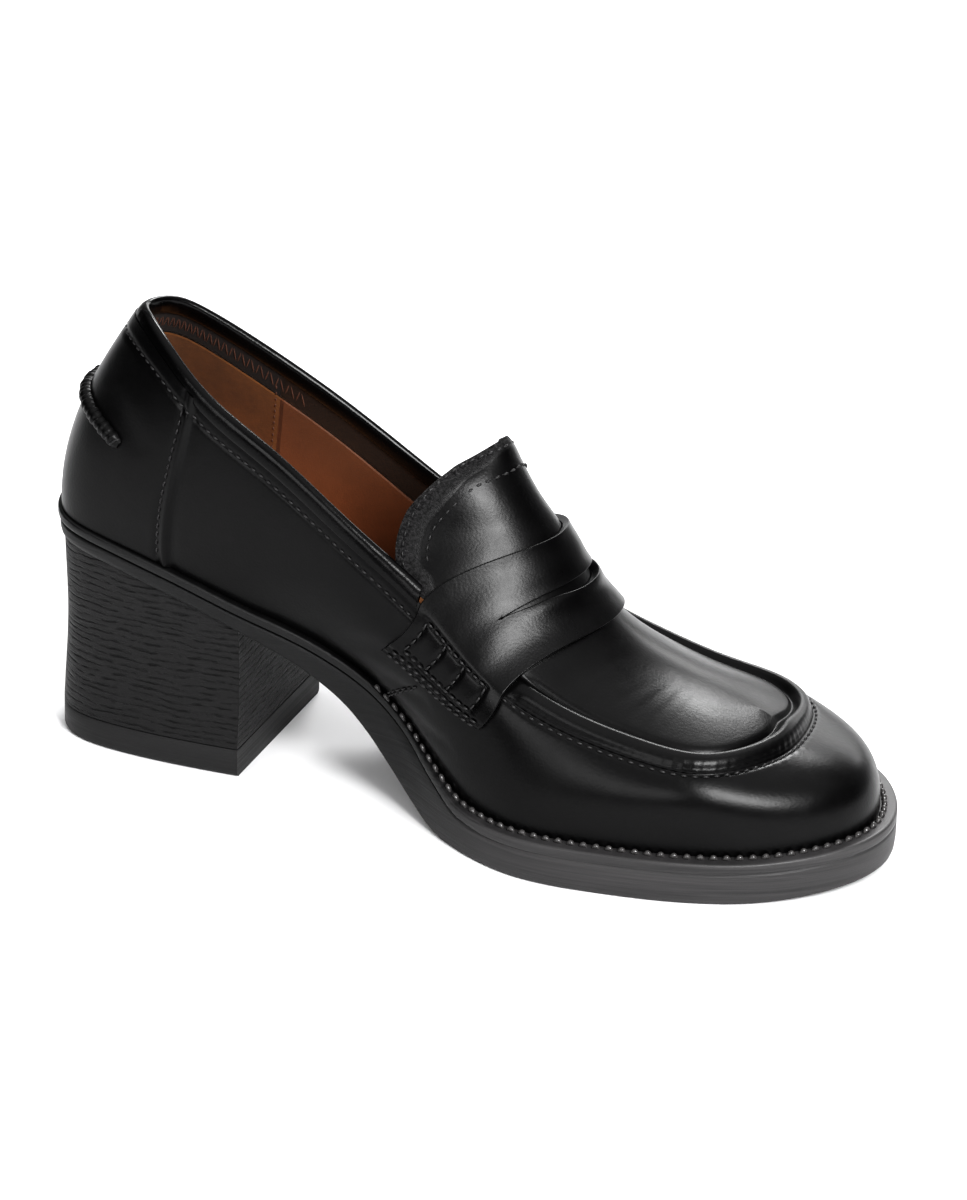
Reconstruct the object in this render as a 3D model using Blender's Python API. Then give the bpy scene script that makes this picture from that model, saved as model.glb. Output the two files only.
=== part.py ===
"""Loafer pump, left shoe, women's size 37 to 38: a block heel, a platform front and a moc toe.

The last's form is worked out from the section table below. Each row is one section that runs from
the feather line, where the upper meets the sole, up to the edge, which is the collar's topline at
the back and the apron seam in front, and from there over the plug to the spine. The same function
gives the upper, its lining side, the strap, the tongue, the binding and the insole.

Sizes in the tables are in millimetres and degrees. X runs to the toe, Y to the outer (lateral)
side and Z up. The origin is under the middle of the shoe, on the floor.
"""

from typing import NamedTuple

import bpy
import numpy as np
from mathutils import Vector

MM = 0.001

HEEL_BREAST_X = 61.3
LIFT_THICKNESS = 8.0
MIDSOLE_THICKNESS = 2.8
INSOLE_THICKNESS = 2.6
UPPER_WALL = 1.9
STRAP_THICKNESS = 2.0
TONGUE_THICKNESS = 2.2
SEAT_GAP = 0.3
INSOLE_CLEARANCE = 1.0
COUNTER_STEP = 0.9

RIDGE_WIDTH = 6.5
RIDGE_HEIGHT = 2.0
GROOVE_WIDTH = 3.0
GROOVE_DEPTH = 0.9

BINDING_HALF_WIDTH = 1.7
BINDING_HALF_HEIGHT = 2.0
BACK_SEAM_HALF_WIDTH = 2.3
BACK_SEAM_HEIGHT = 2.4
BACK_SEAM_SHOULDER_WIDTH = 1.4
BACK_SEAM_SHOULDER_HEIGHT = 1.9


class Section(NamedTuple):
    """One section of the last: sole outline, feather margin, edge, and the wall between them."""

    sole_x: float
    sole_in: float
    sole_out: float
    margin: float
    edge_x: float
    edge_in: float
    edge_out: float
    edge_z_in: float
    edge_z_out: float
    flare_in: float
    flare_out: float
    rise: float
    roof: float
    reach: float


SECTIONS = (
    Section(0.3, 0.5, 0.5, 1.9, 23.0, -3.0, -3.0, 121.3, 121.3, 0.0, 0.0, 0.38, 58.0, 0.38),
    Section(7.0, -19.5, 21.0, 1.9, 28.0, -12.5, 6.5, 120.8, 120.4, 2.0, 2.0, 0.38, 62.0, 0.36),
    Section(26.0, -26.2, 29.2, 2.0, 38.0, -20.5, 12.5, 116.2, 114.6, 7.0, 5.0, 0.38, 70.0, 0.34),
    Section(46.0, -27.2, 31.7, 2.0, 53.0, -26.0, 19.0, 105.6, 103.4, 11.0, 6.0, 0.36, 76.0, 0.34),
    Section(66.0, -26.5, 32.5, 2.0, 73.0, -29.0, 25.0, 94.3, 88.6, 17.0, 8.0, 0.36, 78.0, 0.34),
    Section(82.0, -25.0, 32.8, 2.0, 95.0, -31.5, 29.5, 79.6, 71.8, 28.0, 12.0, 0.36, 76.0, 0.34),
    Section(97.0, -25.0, 33.5, 2.0, 116.0, -32.0, 32.0, 64.6, 57.5, 34.0, 18.0, 0.36, 66.0, 0.34),
    Section(110.5, -28.5, 36.0, 2.4, 128.5, -34.5, 33.8, 54.4, 48.2, 28.0, 18.0, 0.38, 62.0, 0.34),
    Section(125.0, -38.5, 41.5, 3.4, 141.5, -37.0, 35.2, 45.5, 40.2, 14.0, 12.0, 0.40, 58.0, 0.34),
    Section(147.0, -49.5, 47.3, 4.3, 160.0, -39.0, 35.4, 39.0, 34.4, 3.0, 5.0, 0.42, 54.0, 0.34),
    Section(172.0, -50.2, 46.0, 4.5, 180.0, -38.5, 33.0, 34.8, 31.4, 2.0, 3.0, 0.44, 46.0, 0.36),
    Section(200.0, -44.8, 39.5, 4.5, 197.0, -35.0, 29.4, 33.2, 30.6, 2.0, 2.0, 0.48, 36.0, 0.41),
    Section(226.0, -30.3, 25.0, 4.6, 209.5, -20.5, 16.0, 33.2, 31.4, 2.0, 2.0, 0.52, 22.0, 0.47),
    Section(239.0, -5.0, -5.0, 4.7, 213.0, -5.0, -5.0, 33.0, 33.0, 1.0, 1.0, 0.52, 14.0, 0.47),
)
LAST_SECTION = len(SECTIONS) - 1
COUNTER_SECTION = 2.75
STRAP_REAR_SECTION = 6.0
THROAT_SECTION = 6.55
STRAP_FRONT_SECTION = 8.0


class Spine(NamedTuple):
    """Where a section crosses the middle of the plug, how steeply the plug leaves the edge, and how
    far the section turns to run straight across as it reaches the middle."""

    section: float
    x: float
    y: float
    z: float
    crown: float
    across: float


SPINE = (
    Spine(6.0, 142.5, -1.5, 77.5, 50.0, 1.0),
    Spine(7.0, 150.0, -1.8, 66.0, 46.0, 1.0),
    Spine(8.0, 159.0, -2.0, 55.8, 40.0, 1.0),
    Spine(9.0, 169.5, -2.5, 48.0, 33.0, 0.9),
    Spine(10.0, 181.0, -3.0, 43.5, 26.0, 0.6),
    Spine(11.0, 190.5, -3.5, 41.0, 22.0, 0.3),
    Spine(12.0, 197.0, -4.0, 39.4, 20.0, 0.1),
    Spine(13.0, 200.0, -4.0, 38.7, 18.0, 0.0),
)


class Height(NamedTuple):
    """A height of the sole at one distance from the back of the heel."""

    x: float
    z: float


SOLE_TOP = (
    Height(0.0, 66.8),
    Height(20.0, 63.6),
    Height(39.0, 58.9),
    Height(62.0, 51.2),
    Height(75.5, 46.6),
    Height(86.0, 42.2),
    Height(98.0, 36.0),
    Height(110.0, 27.4),
    Height(121.0, 18.8),
    Height(132.0, 12.9),
    Height(145.0, 11.8),
    Height(205.0, 11.8),
    Height(239.0, 13.6),
)
SOLE_BOTTOM = (
    Height(0.0, 59.6),
    Height(20.0, 56.4),
    Height(39.0, 51.4),
    Height(61.3, 43.4),
    Height(75.0, 37.4),
    Height(85.0, 31.6),
    Height(92.0, 26.4),
    Height(98.4, 20.0),
    Height(105.0, 12.4),
    Height(112.3, 5.4),
    Height(120.0, 1.2),
    Height(127.0, 0.0),
    Height(205.0, 0.0),
    Height(239.0, 2.2),
)


class TongueRow(NamedTuple):
    """A row across the tongue: its middle, its inner and outer ends, and how steeply it leaves them."""

    x: float
    y: float
    z: float
    in_x: float
    in_y: float
    in_z: float
    out_x: float
    out_y: float
    out_z: float
    crown: float


TONGUE = (
    TongueRow(137.5, -1.5, 84.0, 110.0, -27.2, 71.5, 111.0, 27.4, 67.5, 56.0),
    TongueRow(133.3, -1.0, 90.3, 106.5, -26.2, 78.5, 107.5, 27.0, 76.0, 54.0),
    TongueRow(129.8, -0.5, 95.6, 107.5, -22.5, 85.0, 109.0, 25.6, 81.0, 48.0),
    TongueRow(127.6, 0.0, 99.2, 110.8, -17.0, 89.6, 113.5, 20.0, 85.6, 42.0),
    TongueRow(126.4, 0.5, 101.2, 116.0, -10.0, 94.6, 120.5, 11.4, 91.6, 34.0),
)


class Shade(NamedTuple):
    """A finish: base colour, roughness and metallic value."""

    colour: tuple
    roughness: float
    metallic: float


BLACK_LEATHER = Shade((0.012, 0.011, 0.012), 0.32, 0.0)
SOLE_RUBBER = Shade((0.030, 0.030, 0.032), 0.62, 0.0)
STACKED_HEEL = Shade((0.024, 0.023, 0.024), 0.58, 0.0)
TAN_LEATHER = Shade((0.50, 0.20, 0.07), 0.55, 0.0)


def closed_spline(knots: np.ndarray, at: np.ndarray) -> np.ndarray:
    """A smooth closed curve through the knots, one unit apart, read at the places in at."""
    count = len(knots)
    ahead = np.roll(knots, -1, axis=0)
    behind = np.roll(knots, 1, axis=0)
    unit = np.eye(count)
    matrix = 4 * unit + np.roll(unit, 1, axis=0) + np.roll(unit, -1, axis=0)
    slopes = np.linalg.solve(matrix, 3 * (ahead - behind))
    at = np.asarray(at, float) % count
    first = np.floor(at).astype(int) % count
    t = (at - np.floor(at)).reshape(-1, *([1] * (knots.ndim - 1)))
    here, there = knots[first], ahead[first]
    rising, falling = slopes[first], np.roll(slopes, -1, axis=0)[first]
    return (
        here * (2 * t**3 - 3 * t**2 + 1)
        + rising * (t**3 - 2 * t**2 + t)
        + there * (3 * t**2 - 2 * t**3)
        + falling * (t**3 - t**2)
    )


def smooth_table(at, places, values):
    """Values between a table's rows, with no overshoot past a row."""
    places, values = np.asarray(places, float), np.asarray(values, float)
    steps = np.diff(places)
    chords = np.diff(values) / steps
    slopes = np.zeros(len(places))
    slopes[0], slopes[-1] = chords[0], chords[-1]
    for i in range(1, len(places) - 1):
        if chords[i - 1] * chords[i] > 0:
            before, after = 2 * steps[i] + steps[i - 1], steps[i] + 2 * steps[i - 1]
            slopes[i] = (before + after) / (before / chords[i - 1] + after / chords[i])
    at = np.clip(np.asarray(at, float), places[0], places[-1])
    first = np.clip(np.searchsorted(places, at, side="right") - 1, 0, len(places) - 2)
    width = steps[first]
    t = (at - places[first]) / width
    return (
        values[first] * (2 * t**3 - 3 * t**2 + 1)
        + slopes[first] * width * (t**3 - 2 * t**2 + t)
        + values[first + 1] * (3 * t**2 - 2 * t**3)
        + slopes[first + 1] * width * (t**3 - t**2)
    )


def height_at(table, x):
    """Height of the sole's top or bottom at a distance from the back of the heel."""
    return smooth_table(x, [row.x for row in table], [row.z for row in table])


def around(inner: str, outer: str) -> np.ndarray:
    """A section column as a closed list: heel, inner side, toe, outer side back to the heel."""
    there = [getattr(row, inner) for row in SECTIONS]
    back = [getattr(row, outer) for row in SECTIONS[-2:0:-1]]
    return np.array(there + back)


def place(section, side: int):
    """The closed curve's parameter for a section number, on side -1 (inner) or 1 (outer)."""
    section = np.asarray(section, float)
    return section if side < 0 else 2 * LAST_SECTION - section


def outline(at) -> np.ndarray:
    """Plan of the sole's rim."""
    knots = np.stack([around("sole_x", "sole_x"), around("sole_in", "sole_out")], axis=1)
    return closed_spline(knots, at)


CURVE_SPAN = 0.01


def outward(curve, at) -> np.ndarray:
    """Unit normals in plan, pointing out of a closed curve that starts at the heel's inner side."""
    ahead, behind = curve(np.asarray(at) + CURVE_SPAN), curve(np.asarray(at) - CURVE_SPAN)
    along = ahead[:, :2] - behind[:, :2]
    across = np.stack([along[:, 1], -along[:, 0]], axis=1)
    return across / np.linalg.norm(across, axis=1, keepdims=True)


def rim(at, inset) -> np.ndarray:
    """Plan of the sole's rim, moved in by inset."""
    return outline(at) - outward(outline, at) * np.reshape(inset, (-1, 1))


def feather(at) -> np.ndarray:
    """Feather line: where the outside of the upper meets the top of the sole."""
    margin = closed_spline(around("margin", "margin"), at)
    plan = rim(at, margin)
    return np.column_stack([plan, height_at(SOLE_TOP, plan[:, 0]) + SEAT_GAP])


def edge(at) -> np.ndarray:
    """Topline of the collar at the back, and apron seam in front."""
    knots = np.stack(
        [
            around("edge_x", "edge_x"),
            around("edge_in", "edge_out"),
            around("edge_z_in", "edge_z_out"),
        ],
        axis=1,
    )
    return closed_spline(knots, at)


def bezier(a, b, c, d, t):
    """Cubic curve from a to d with handles b and c, read at t."""
    t = np.asarray(t, float)[..., None]
    return a * (1 - t) ** 3 + 3 * b * t * (1 - t) ** 2 + 3 * c * t**2 * (1 - t) + d * t**3


def wall_point(at, v) -> np.ndarray:
    """A point of the side wall: v is 0 at the feather line and 1 at the edge."""
    low, high = feather(at), edge(at)
    length = np.linalg.norm(high - low, axis=1, keepdims=True)
    flare = np.radians(closed_spline(around("flare_in", "flare_out"), at))
    roof = np.radians(closed_spline(around("roof", "roof"), at))
    rise = closed_spline(around("rise", "rise"), at)[:, None] * length
    reach = closed_spline(around("reach", "reach"), at)[:, None] * length
    out_low, out_high = outward(feather, at), outward(edge, at)
    up = np.column_stack([out_low * np.sin(flare)[:, None], np.cos(flare)])
    down = np.column_stack([out_high * np.cos(roof)[:, None], -np.sin(roof)])
    return bezier(low, low + rise * up, high + reach * down, high, v)


SPINE_SPAN = 0.05


def spine_row(section):
    """Spine point, crown angle, share of straight crossing, and the spine's slope at a section."""
    rows = [row.section for row in SPINE]

    def read(key, at):
        return smooth_table(at, rows, [getattr(row, key) for row in SPINE])

    section = np.asarray(section, float)
    ahead, behind = section + SPINE_SPAN, section - SPINE_SPAN
    slope = (read("z", ahead) - read("z", behind)) / (read("x", ahead) - read("x", behind))
    point = np.column_stack([read(key, section) for key in ("x", "y", "z")])
    return point, np.radians(read("crown", section)), read("across", section), slope


def half_arch(high, middle, crown, across, slope, w) -> np.ndarray:
    """Curve from an edge point up to the middle: crown is its first angle, across its last turn."""
    plan = middle[:, :2] - high[:, :2]
    length = np.linalg.norm(plan, axis=1, keepdims=True)
    plan = plan / length
    leave = np.column_stack([plan * np.cos(crown)[:, None], np.sin(crown)])
    along = np.column_stack([plan, plan[:, 0] * slope])
    straight = np.column_stack([0 * slope, np.sign(plan[:, 1]), 0 * slope])
    arrive = along + (straight - along) * across[:, None]
    handle = length / 3
    return bezier(high, high + handle * leave, middle - handle * arrive, middle, w)


def plug_point(section, side: int, w) -> np.ndarray:
    """A point of the plug: w is 0 at the edge and 1 at the spine."""
    high = edge(place(section, side))
    middle, crown, across, slope = spine_row(section)
    return half_arch(high, middle, crown, across, slope, w)


RELIEF_FADE = 0.35


def apron_relief(distance, section):
    """Height of the rolled apron ridge and depth of the groove inside it, in from the seam."""
    swell = RIDGE_HEIGHT * np.sin(np.pi * distance / RIDGE_WIDTH) ** 2
    ridge = np.where(distance < RIDGE_WIDTH, swell, 0)
    inside = distance - RIDGE_WIDTH
    groove = np.where(
        (inside > 0) & (inside < GROOVE_WIDTH),
        GROOVE_DEPTH * np.sin(np.pi * inside / GROOVE_WIDTH),
        0,
    )
    fade = np.clip((section - STRAP_FRONT_SECTION) / RELIEF_FADE, 0, 1)
    return (ridge - groove) * fade


WALL_RINGS = 9
PLUG_NEAR = (0.0, 1.1, 2.3, 3.3, 4.4, 5.5, 6.5, 8.0, 9.6)
PLUG_FAR = (0.45, 0.72, 1.0)


def upper_grid(sections):
    """Points of the upper without relief, its faces, and each point's relief.

    The columns run from the heel's inner side round the toe to the outer side. Rings run up the
    wall, and in front of the throat they go on over the plug to the spine.
    """
    points, relief, index, faces = [], [], {}, []
    front = [s for s in sections if s >= THROAT_SECTION - 1e-6]

    def add(key, point, height):
        index[key] = len(points)
        points.append(point)
        relief.append(height)

    columns = [(s, -1) for s in sections] + [(s, 1) for s in sections[-2:0:-1]]
    for column, (section, side) in enumerate(columns):
        at = np.array([place(section, side)])
        step = COUNTER_STEP if section < COUNTER_SECTION else 0.0
        for ring in range(WALL_RINGS + 1):
            v = ring / WALL_RINGS
            add(("wall", ring, column), wall_point(at, [v])[0], step)
        if section not in front:
            continue
        high, middle = plug_point([section], side, [0.0])[0], plug_point([section], side, [1.0])[0]
        length = np.linalg.norm(middle - high)
        near = [(d, d / length) for d in PLUG_NEAR[1:]]
        start = near[-1][1]
        far = [(length * (start + f * (1 - start)), start + f * (1 - start)) for f in PLUG_FAR]
        for ring, (distance, w) in enumerate(near + far, 1):
            last = ring == len(near) + len(far)
            key = ("plug", ring, section) if last else ("plug", ring, column)
            if key not in index:
                add(key, plug_point([section], side, [w])[0], float(apron_relief(distance, section)))
    rings = len(PLUG_NEAR) - 1 + len(PLUG_FAR)

    def plug_key(ring, column):
        if ring == 0:
            return "wall", WALL_RINGS, column
        return "plug", ring, columns[column][0] if ring == rings else column

    for column in range(len(columns)):
        after = (column + 1) % len(columns)
        for ring in range(WALL_RINGS):
            keys = [("wall", ring, column), ("wall", ring, after)]
            keys += [("wall", ring + 1, after), ("wall", ring + 1, column)]
            faces.append([index[key] for key in keys])
        if columns[column][0] not in front or columns[after][0] not in front:
            continue
        for ring in range(rings):
            keys = [plug_key(ring, column), plug_key(ring, after)]
            keys += [plug_key(ring + 1, after), plug_key(ring + 1, column)]
            faces.append([index[key] for key in keys])
    return np.array(points), faces, np.array(relief)


def face_normals(points: np.ndarray, faces) -> np.ndarray:
    """Unit normals at the points, from the faces round each."""
    normals = np.zeros_like(points)
    for face in faces:
        corner = points[face]
        turn = np.zeros(3)
        for i in range(len(face)):
            turn += np.cross(corner[i], corner[(i + 1) % len(face)])
        normals[face] += turn
    return normals / np.linalg.norm(normals, axis=1, keepdims=True)


def solid(name: str, layers, faces, shade: Shade):
    """A closed solid between layers of points that share their faces, the outermost layer first."""
    count = len(layers[0])
    edges = {}
    for face in faces:
        for a, b in zip(face, face[1:] + face[:1]):
            edges[(a, b)] = edges.get((a, b), 0) + 1
    border = [(a, b) for a, b in edges if (b, a) not in edges]
    shell = [list(face) for face in faces]
    shell += [[i + count * (len(layers) - 1) for i in reversed(face)] for face in faces]
    for level in range(len(layers) - 1):
        top, low = count * level, count * (level + 1)
        shell += [[b + top, a + top, a + low, b + low] for a, b in border]
    points = np.concatenate(layers)
    used = sorted({i for face in shell for i in face})
    renumber = {old: new for new, old in enumerate(used)}
    shell = [[renumber[i] for i in face] for face in shell]
    return finished(name, points[used], shell, shade)


SHARP_ANGLE = 40


def finished(name: str, points: np.ndarray, faces, shade: Shade):
    """An object of these points and faces, smooth over its soft edges, with its own material."""
    mesh = bpy.data.meshes.new(name)
    mesh.from_pydata((points * MM).tolist(), [], faces)
    mesh.validate()
    mesh.shade_smooth()
    mesh.set_sharp_from_angle(angle=np.radians(SHARP_ANGLE))
    piece = bpy.data.objects.new(name, mesh)
    bpy.context.scene.collection.objects.link(piece)
    material = bpy.data.materials.new(name)
    material.use_nodes = True
    surface = material.node_tree.nodes["Principled BSDF"]
    surface.inputs["Base Color"].default_value = (*shade.colour, 1)
    surface.inputs["Roughness"].default_value = shade.roughness
    surface.inputs["Metallic"].default_value = shade.metallic
    mesh.materials.append(material)
    return piece


def plate_grid(sections, plan, across=2):
    """Plan points and faces of a plate whose rim is plan(section, side), from heel to toe."""
    points, index, faces = [], {}, []
    for row, section in enumerate(sections):
        inner, outer = plan(section, -1), plan(section, 1)
        single = np.linalg.norm(inner - outer) < 1e-6
        for i in range(across + 1):
            if single and i:
                index[row, i] = index[row, 0]
                continue
            index[row, i] = len(points)
            points.append(inner + (outer - inner) * i / across)
    for row in range(len(sections) - 1):
        for i in range(across):
            corners = [index[row, i], index[row + 1, i], index[row + 1, i + 1], index[row, i + 1]]
            face = list(dict.fromkeys(corners))
            faces.append(face)
    return np.array(points), faces


def with_height(plan: np.ndarray, height) -> np.ndarray:
    """Plan points with a height each."""
    return np.column_stack([plan, np.broadcast_to(height, len(plan))])


def rim_point(section, side, inset):
    """One point of the sole's rim in plan, moved in by inset."""
    return rim([place(section, side)], [inset])[0]


def build_midsole(sections):
    """Thin layer whose rim shows as the welt, all round under the upper."""
    plan, faces = plate_grid(sections, lambda s, side: rim_point(s, side, 0.0))
    top = height_at(SOLE_TOP, plan[:, 0])
    return solid(
        "midsole",
        [with_height(plan, top), with_height(plan, top - MIDSOLE_THICKNESS)],
        faces,
        SOLE_RUBBER,
    )


OUTSOLE_INSET = 0.7
OUTSOLE_FOOT_INSET = 1.3
OUTSOLE_BEVEL = 1.2


def build_outsole(sections):
    """Platform under the ball, rising through the waist to the seat over the heel."""
    grids = [
        plate_grid(sections, lambda s, side, inset=inset: rim_point(s, side, inset))
        for inset in (OUTSOLE_INSET, OUTSOLE_INSET, OUTSOLE_FOOT_INSET)
    ]
    faces = grids[0][1]
    top, wall, foot = (grid[0] for grid in grids)
    layers = [
        with_height(top, height_at(SOLE_TOP, top[:, 0]) - MIDSOLE_THICKNESS - SEAT_GAP),
        with_height(wall, height_at(SOLE_BOTTOM, wall[:, 0]) + OUTSOLE_BEVEL),
        with_height(foot, height_at(SOLE_BOTTOM, foot[:, 0])),
    ]
    return solid("outsole", layers, faces, SOLE_RUBBER)


HEEL_TOP_INSET = 1.7
HEEL_WAIST_INSET = 2.3
HEEL_WAIST_SHARE = 0.55
HEEL_FOOT_INSET = 0.9
HEEL_STATIONS = 15
LIFT_BEVEL = 1.0


def section_at_x(x: float, side: int, inset: float) -> float:
    """Section number at which the inset rim crosses x."""
    low, high = 1.0, float(LAST_SECTION - 1)
    for _ in range(40):
        middle = (low + high) / 2
        if rim_point(middle, side, inset)[0] < x:
            low = middle
        else:
            high = middle
    return (low + high) / 2


def heel_plan(inset: float):
    """Plan points and faces of the heel, cut square at its breast."""
    ends = {side: section_at_x(HEEL_BREAST_X, side, inset) for side in (-1, 1)}

    def plan(share, side):
        return rim_point(share * ends[side], side, inset)

    shares = 1 - np.cos(np.linspace(0, np.pi / 2, HEEL_STATIONS + 1))
    return plate_grid(list(shares), plan)


def build_heel():
    """Stacked block under the seat, with a lift under it that stands on the floor."""
    top, faces = heel_plan(HEEL_TOP_INSET)
    waist, foot = heel_plan(HEEL_WAIST_INSET)[0], heel_plan(HEEL_FOOT_INSET)[0]
    top_height = height_at(SOLE_BOTTOM, top[:, 0]) - SEAT_GAP
    block = [
        with_height(top, top_height),
        with_height(waist, LIFT_THICKNESS + HEEL_WAIST_SHARE * (top_height - LIFT_THICKNESS)),
        with_height(foot, LIFT_THICKNESS + SEAT_GAP),
    ]
    solid("heel_block", block, faces, STACKED_HEEL)
    low = heel_plan(HEEL_FOOT_INSET + LIFT_BEVEL)[0]
    lift = [with_height(foot, LIFT_THICKNESS), with_height(foot, LIFT_BEVEL), with_height(low, 0.0)]
    solid("heel_lift", lift, faces, SOLE_RUBBER)


def build_insole(sections):
    """Insole board with its leather sock, inside the upper's wall."""

    def plan(section, side):
        at = np.array([place(section, side)])
        margin = closed_spline(around("margin", "margin"), at)[0]
        return rim([at[0]], [margin + UPPER_WALL + INSOLE_CLEARANCE])[0]

    flat, faces = plate_grid(sections, plan, across=4)
    low = height_at(SOLE_TOP, flat[:, 0]) + SEAT_GAP
    layers = [with_height(flat, low + INSOLE_THICKNESS), with_height(flat, low)]
    return solid("insole", layers, faces, TAN_LEATHER)


def build_upper(sections):
    """Hollow upper: quarters, counter, vamp and plug in one wall, open at the collar and below."""
    base, faces, relief = upper_grid(sections)
    normals = face_normals(base, faces)
    outside = base + normals * relief[:, None]
    inside = base - normals * UPPER_WALL
    # The lining side ends level with the outside at the feather line, so that both rest on the sole.
    seats = height_at(SOLE_TOP, base[:, 0]) + 2 * SEAT_GAP
    feet = [i for i in range(len(base)) if base[i][2] <= seats[i]]
    for i in feet:
        inside[i][2] = height_at(SOLE_TOP, inside[i][0]) + SEAT_GAP
        outside[i][2] = height_at(SOLE_TOP, outside[i][0]) + SEAT_GAP
    return solid("upper", [outside, inside], faces, BLACK_LEATHER)


STRAP_ROWS = 8
STRAP_END_REAR = 0.50
STRAP_END_FRONT = 0.66
STRAP_WALL_STEPS = 5
STRAP_PLUG_STEPS = 8
SLOT_HALF_STEPS = 5
SLOT_HALF_WIDTH = 0.11


def strap_point(section: float, along: float) -> np.ndarray:
    """A point of the last under the strap: along runs from -1, inner end, to 1, outer end."""
    side = -1 if along < 0 else 1
    span = abs(along)
    wall_share = STRAP_WALL_STEPS / (STRAP_WALL_STEPS + STRAP_PLUG_STEPS)
    share = (section - STRAP_REAR_SECTION) / (STRAP_FRONT_SECTION - STRAP_REAR_SECTION)
    end = STRAP_END_REAR + share * (STRAP_END_FRONT - STRAP_END_REAR)
    if span > 1 - wall_share:
        down = (span - (1 - wall_share)) / wall_share
        return wall_point(np.array([place(section, side)]), [1 - down * (1 - end)])[0]
    return plug_point([section], side, [1 - span / (1 - wall_share)])[0]


def build_strap():
    """Saddle strap over the instep, with the slot cut through its middle."""
    steps = STRAP_WALL_STEPS + STRAP_PLUG_STEPS
    points, index, faces = [], {}, []
    middle = STRAP_ROWS // 2
    for row in range(STRAP_ROWS + 1):
        for step in range(-steps, steps + 1):
            sides = ("rear", "front") if row == middle and abs(step) < SLOT_HALF_STEPS else ("whole",)
            for lip in sides:
                share = row / STRAP_ROWS
                section = STRAP_REAR_SECTION + share * (STRAP_FRONT_SECTION - STRAP_REAR_SECTION)
                if lip != "whole":
                    opening = SLOT_HALF_WIDTH * np.cos(0.5 * np.pi * step / SLOT_HALF_STEPS)
                    section += -opening if lip == "rear" else opening
                index[row, step, lip] = len(points)
                points.append(strap_point(section, step / steps))

    def key(row, step, lip):
        return index.get((row, step, lip), index.get((row, step, "whole")))

    for row in range(STRAP_ROWS):
        lip = "rear" if row < middle else "front"
        for step in range(-steps, steps):
            corners = [(row, step), (row + 1, step), (row + 1, step + 1), (row, step + 1)]
            faces.append([key(*corner, lip) for corner in corners])
    base = np.array(points)
    normals = face_normals(base, faces)
    layers = [base + normals * (SEAT_GAP + STRAP_THICKNESS), base + normals * SEAT_GAP]
    return solid("saddle_strap", layers, faces, BLACK_LEATHER)


TONGUE_STEPS = 7
TONGUE_EDGE_IN = 4.4
TONGUE_SEAM_ROWS = 4
TONGUE_FREE_ROWS = 8
TONGUE_OVERLAP = 0.03


def joint_row(section: float) -> TongueRow:
    """The tongue's row at a section in front of its free part, where it still lies on the last."""
    middle, crown, _, _ = spine_row([section])
    ends = []
    for side in (-1, 1):
        high = plug_point([section], side, [0.0])[0]
        start = TONGUE_EDGE_IN / np.linalg.norm(middle[0] - high)
        ends.extend(plug_point([section], side, [start])[0])
    return TongueRow(*middle[0], *ends, np.degrees(crown[0]))


def tongue_row(row: TongueRow) -> np.ndarray:
    """Points across the tongue from its inner end to its outer end."""
    middle = np.array([[row.x, row.y, row.z]])
    crown, across, slope = np.radians([row.crown]), np.array([1.0]), np.array([0.0])
    points = []
    for step in range(-TONGUE_STEPS, TONGUE_STEPS + 1):
        end = (row.in_x, row.in_y, row.in_z) if step < 0 else (row.out_x, row.out_y, row.out_z)
        share = 1 - abs(step) / TONGUE_STEPS
        points.append(half_arch(np.array([end]), middle, crown, across, slope, [share])[0])
    return np.array(points)


def build_tongue():
    """Tongue flap, the plug's own leather carried on behind the strap to a rounded top."""
    under = np.linspace(THROAT_SECTION - TONGUE_OVERLAP, STRAP_REAR_SECTION, TONGUE_SEAM_ROWS)
    seam = [joint_row(float(section)) for section in under]
    table = [seam[-1], *TONGUE]
    places = np.arange(len(table))
    shares = np.linspace(0, places[-1], TONGUE_FREE_ROWS + 1)[1:]
    columns = [smooth_table(shares, places, column) for column in zip(*table)]
    free = [TongueRow(*row) for row in zip(*columns)]
    points = np.concatenate([tongue_row(row) for row in seam + free])
    width = 2 * TONGUE_STEPS + 1
    faces = [
        [(r + 1) * width + i, (r + 1) * width + i + 1, r * width + i + 1, r * width + i]
        for r in range(len(seam + free) - 1)
        for i in range(width - 1)
    ]
    normals = face_normals(points, faces)
    if normals[:, 2].mean() < 0:
        faces = [face[::-1] for face in faces]
        normals = -normals
    layers = [points, points - normals * TONGUE_THICKNESS]
    return solid("tongue", layers, faces, BLACK_LEATHER)


def swept(name: str, path: np.ndarray, sides: np.ndarray, ups: np.ndarray, shape, shade: Shade):
    """A solid swept along a path: shape holds (side, up) steps for each corner of its section."""
    points = [p + s * a + u * b for p, s, u in zip(path, sides, ups) for a, b in shape]
    count, corners = len(path), len(shape)
    faces = []
    for i in range(count - 1):
        here, there = i * corners, (i + 1) * corners
        for k in range(corners):
            after = (k + 1) % corners
            faces.append([here + k, there + k, there + after, here + after])
    faces.append(list(range(corners)))
    faces.append([(count - 1) * corners + k for k in reversed(range(corners))])
    points = np.array(points)
    flux = sum(np.dot(np.cross(points[f[0]], points[f[1]]), points[f[2]]) for f in triangles(faces))
    if flux < 0:
        faces = [face[::-1] for face in faces]
    return finished(name, points, faces, shade)


def triangles(faces):
    """The faces cut into triangles from their first corner."""
    return [(face[0], face[i], face[i + 1]) for face in faces for i in range(1, len(face) - 1)]


def round_shape(half_width: float, half_height: float, corners: int, lift: float):
    """Corners of an oval section whose middle is lift above the path."""
    turns = 2 * np.pi * (np.arange(corners) + 0.5) / corners
    return [(half_width * np.cos(t), lift + half_height * np.sin(t)) for t in turns]


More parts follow.
